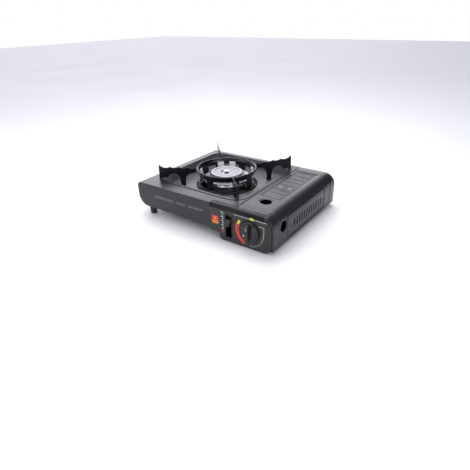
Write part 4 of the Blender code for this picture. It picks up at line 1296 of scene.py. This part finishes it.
def buildIgniter():
    low, high, middle, r = spanOf("electrode_insulator")
    end, r = (high.z - low.z) / mm, r / mm
    profile = [(0, 0), (r - 0.4, 0), (r - 0.2, 0.3)]
    for z in (3, 4.9, 6.8, 8.7):
        # a moulded ring
        profile += [(r - 0.2, z), (r, z + 0.4), (r, z + 0.9), (r - 0.2, z + 1.2)]
    profile += [(r - 0.2, end - 6), (r - 1, end - 1), (r - 1.4, end), (0, end)]
    body = turnedSolid("electrodeBody", inMm(profile), (middle.x, middle.y, low.z), 36)
    place(body, "body", ceramic, "white_ceramic", "electrode_insulator")


def buildHingeDetail():
    points = []
    for end in ("front", "back"):
        low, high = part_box("lid_knuckle_" + end)
        for y in (low.y + 2.5 * mm, high.y - 2.5 * mm):
            points.append((right - 0.3 * mm, y, high.z - 3 * mm))
    heads("hingeRivets", points, paint, "lid", "dark_paint", 1.7 * mm, 0.5 * mm,
          (0.0, pi / 2, 0.0))
    _, high, middle, _ = spanOf("notch_guide")
    bolts = [(middle.x, middle.y + y, high.z) for y in (-8 * mm, 4 * mm)]
    heads("guideBolts", bolts, plated, "body", "plated_steel", 1.6 * mm, 0.8 * mm)


buildValve()
buildIgniter()
buildHingeDetail()
print("inner pieces built")


# ---- feet and fastenings

def buildFeet():
    for node in ("foot_front_left", "foot_back_left", "foot_front_right", "foot_back_right"):
        low, high, middle, r = spanOf(node)
        height = high.z - low.z
        edge = min(1.2 * mm, height * 0.3)
        profile = [(0, 0.6 * mm), (2.2 * mm, 0.6 * mm), (3 * mm, 0), (r - edge - 0.8 * mm, 0)]
        profile += arcPoints(r - edge - 0.4 * mm, edge, edge, -90, 0, 5)
        profile += [(r, height), (0, height)]
        foot = turnedSolid(node + "_pad", profile, (middle.x, middle.y, low.z), 48)
        place(foot, "body", rubber, "rubber_black", node)


def buildBackScrews():
    places = ((-150, 60), (-40, 28), (70, 60), (100, 60), (152, 20), (70, 14))
    points = [(x * mm, back - 0.5 * mm, z * mm) for x, z in places]
    heads("backScrews", points, plated, "body", "plated_steel", 2.4 * mm, 0.9 * mm,
          (pi / 2, 0.0, 0.0))


buildFeet()
buildBackScrews()
print("feet and screws built")


# ---- floor, light and camera

def buildStage():
    floor = cuboid("floor", (-6, -6, -0.02), (6, 6, -0.0002))
    paper = surface("paper", (0.80, 0.80, 0.80), (0.55, 0.7), tint=1.03, grain=(400, 0.005),
                    cloud=3.0)
    floor.data.materials.append(paper)

    world = bpy.data.worlds.new("studio")
    bpy.context.scene.world = world
    world.use_nodes = True
    tree = world.node_tree
    tree.nodes.clear()
    coords = addNode(tree, "ShaderNodeTexCoord")
    split = addNode(tree, "ShaderNodeSeparateXYZ", {"Vector": coords.outputs["Generated"]})
    rise = addNode(tree, "ShaderNodeValToRGB", {"Fac": split.outputs["Z"]})
    ramp = rise.color_ramp
    ramp.elements[0].position, ramp.elements[0].color = 0.0, (0.70, 0.71, 0.78, 1)
    ramp.elements[1].position, ramp.elements[1].color = 1.0, (1.0, 1.02, 1.12, 1)
    for position, value in ((0.35, 0.9), (0.6, 0.75)):
        element = ramp.elements.new(position)
        element.color = (value, value, value * 1.09, 1)

    def towards(direction, near, far, low, high):
        # a value that changes from low to high as the view turns to the direction
        facing = addNode(tree, "ShaderNodeVectorMath", {
            0: coords.outputs["Generated"], 1: tuple(Vector(direction).normalized())},
            operation="DOT_PRODUCT")
        return addNode(tree, "ShaderNodeMapRange", {
            "Value": facing.outputs["Value"], "From Min": near, "From Max": far,
            "To Min": low, "To Max": high}).outputs[0]

    # dark at the right rear, for the lid's rounded edge, and bright at the left rear, for
    # the flat top and the pan
    shade = towards((0.45, 0.72, 0.53), 0.62, 0.90, 1.0, 0.03)
    lift = towards((-0.51, 0.71, 0.49), 0.55, 0.95, 0.74, 2.7)
    colour = addNode(tree, "ShaderNodeMix", {
        "Factor": shade, "A": (0, 0, 0, 1), "B": rise.outputs["Color"]}, data_type="RGBA")
    room = addNode(tree, "ShaderNodeBackground",
                   {"Color": colour.outputs["Result"], "Strength": lift})
    seen = addNode(tree, "ShaderNodeBackground", {"Color": (1, 1, 1, 1), "Strength": 1.0})
    path = addNode(tree, "ShaderNodeLightPath")
    mixed = addNode(tree, "ShaderNodeMixShader", {
        0: path.outputs["Is Camera Ray"], 1: room.outputs[0], 2: seen.outputs[0]})
    addNode(tree, "ShaderNodeOutputWorld", {"Surface": mixed.outputs[0]})

    for name, at, size, power in (
        ("frontSoft", (-0.75, -1.0, 0.75), 0.9, 3.5),
        ("topSoft", (-0.2, 0.35, 1.4), 1.1, 12),
        ("rightSoft", (1.1, -0.35, 0.55), 0.7, 5),
    ):
        lamp = bpy.data.lights.new(name, "AREA")
        lamp.shape, lamp.size, lamp.energy = "DISK", size, power
        obj = bpy.data.objects.new(name, lamp)
        bpy.context.scene.collection.objects.link(obj)
        obj.location = at
        aim = Vector((0, 0, 0.05)) - Vector(at)
        obj.rotation_euler = aim.to_track_quat("-Z", "Y").to_euler()


def buildCamera():
    az, el, roll = radians(35.733), radians(29.243), radians(-1.168)
    behind = Vector((sin(az) * cos(el), -cos(az) * cos(el), sin(el)))
    level = Vector((cos(az), sin(az), 0))
    upward = level.cross(-behind)
    across = cos(roll) * level + sin(roll) * upward
    upright = -sin(roll) * level + cos(roll) * upward
    lens = bpy.data.cameras.new("camera")
    lens.lens, lens.sensor_width = 30.316, 36
    camera = bpy.data.objects.new("camera", lens)
    bpy.context.scene.collection.objects.link(camera)
    basis = Matrix((across, upright, behind)).transposed()
    camera.matrix_world = Matrix.Translation((0.4691, -0.6576, 0.3856)) @ basis.to_4x4()
    bpy.context.scene.camera = camera


buildStage()
buildCamera()
bpy.context.scene.view_settings.view_transform = "Standard"
print("scene ready")
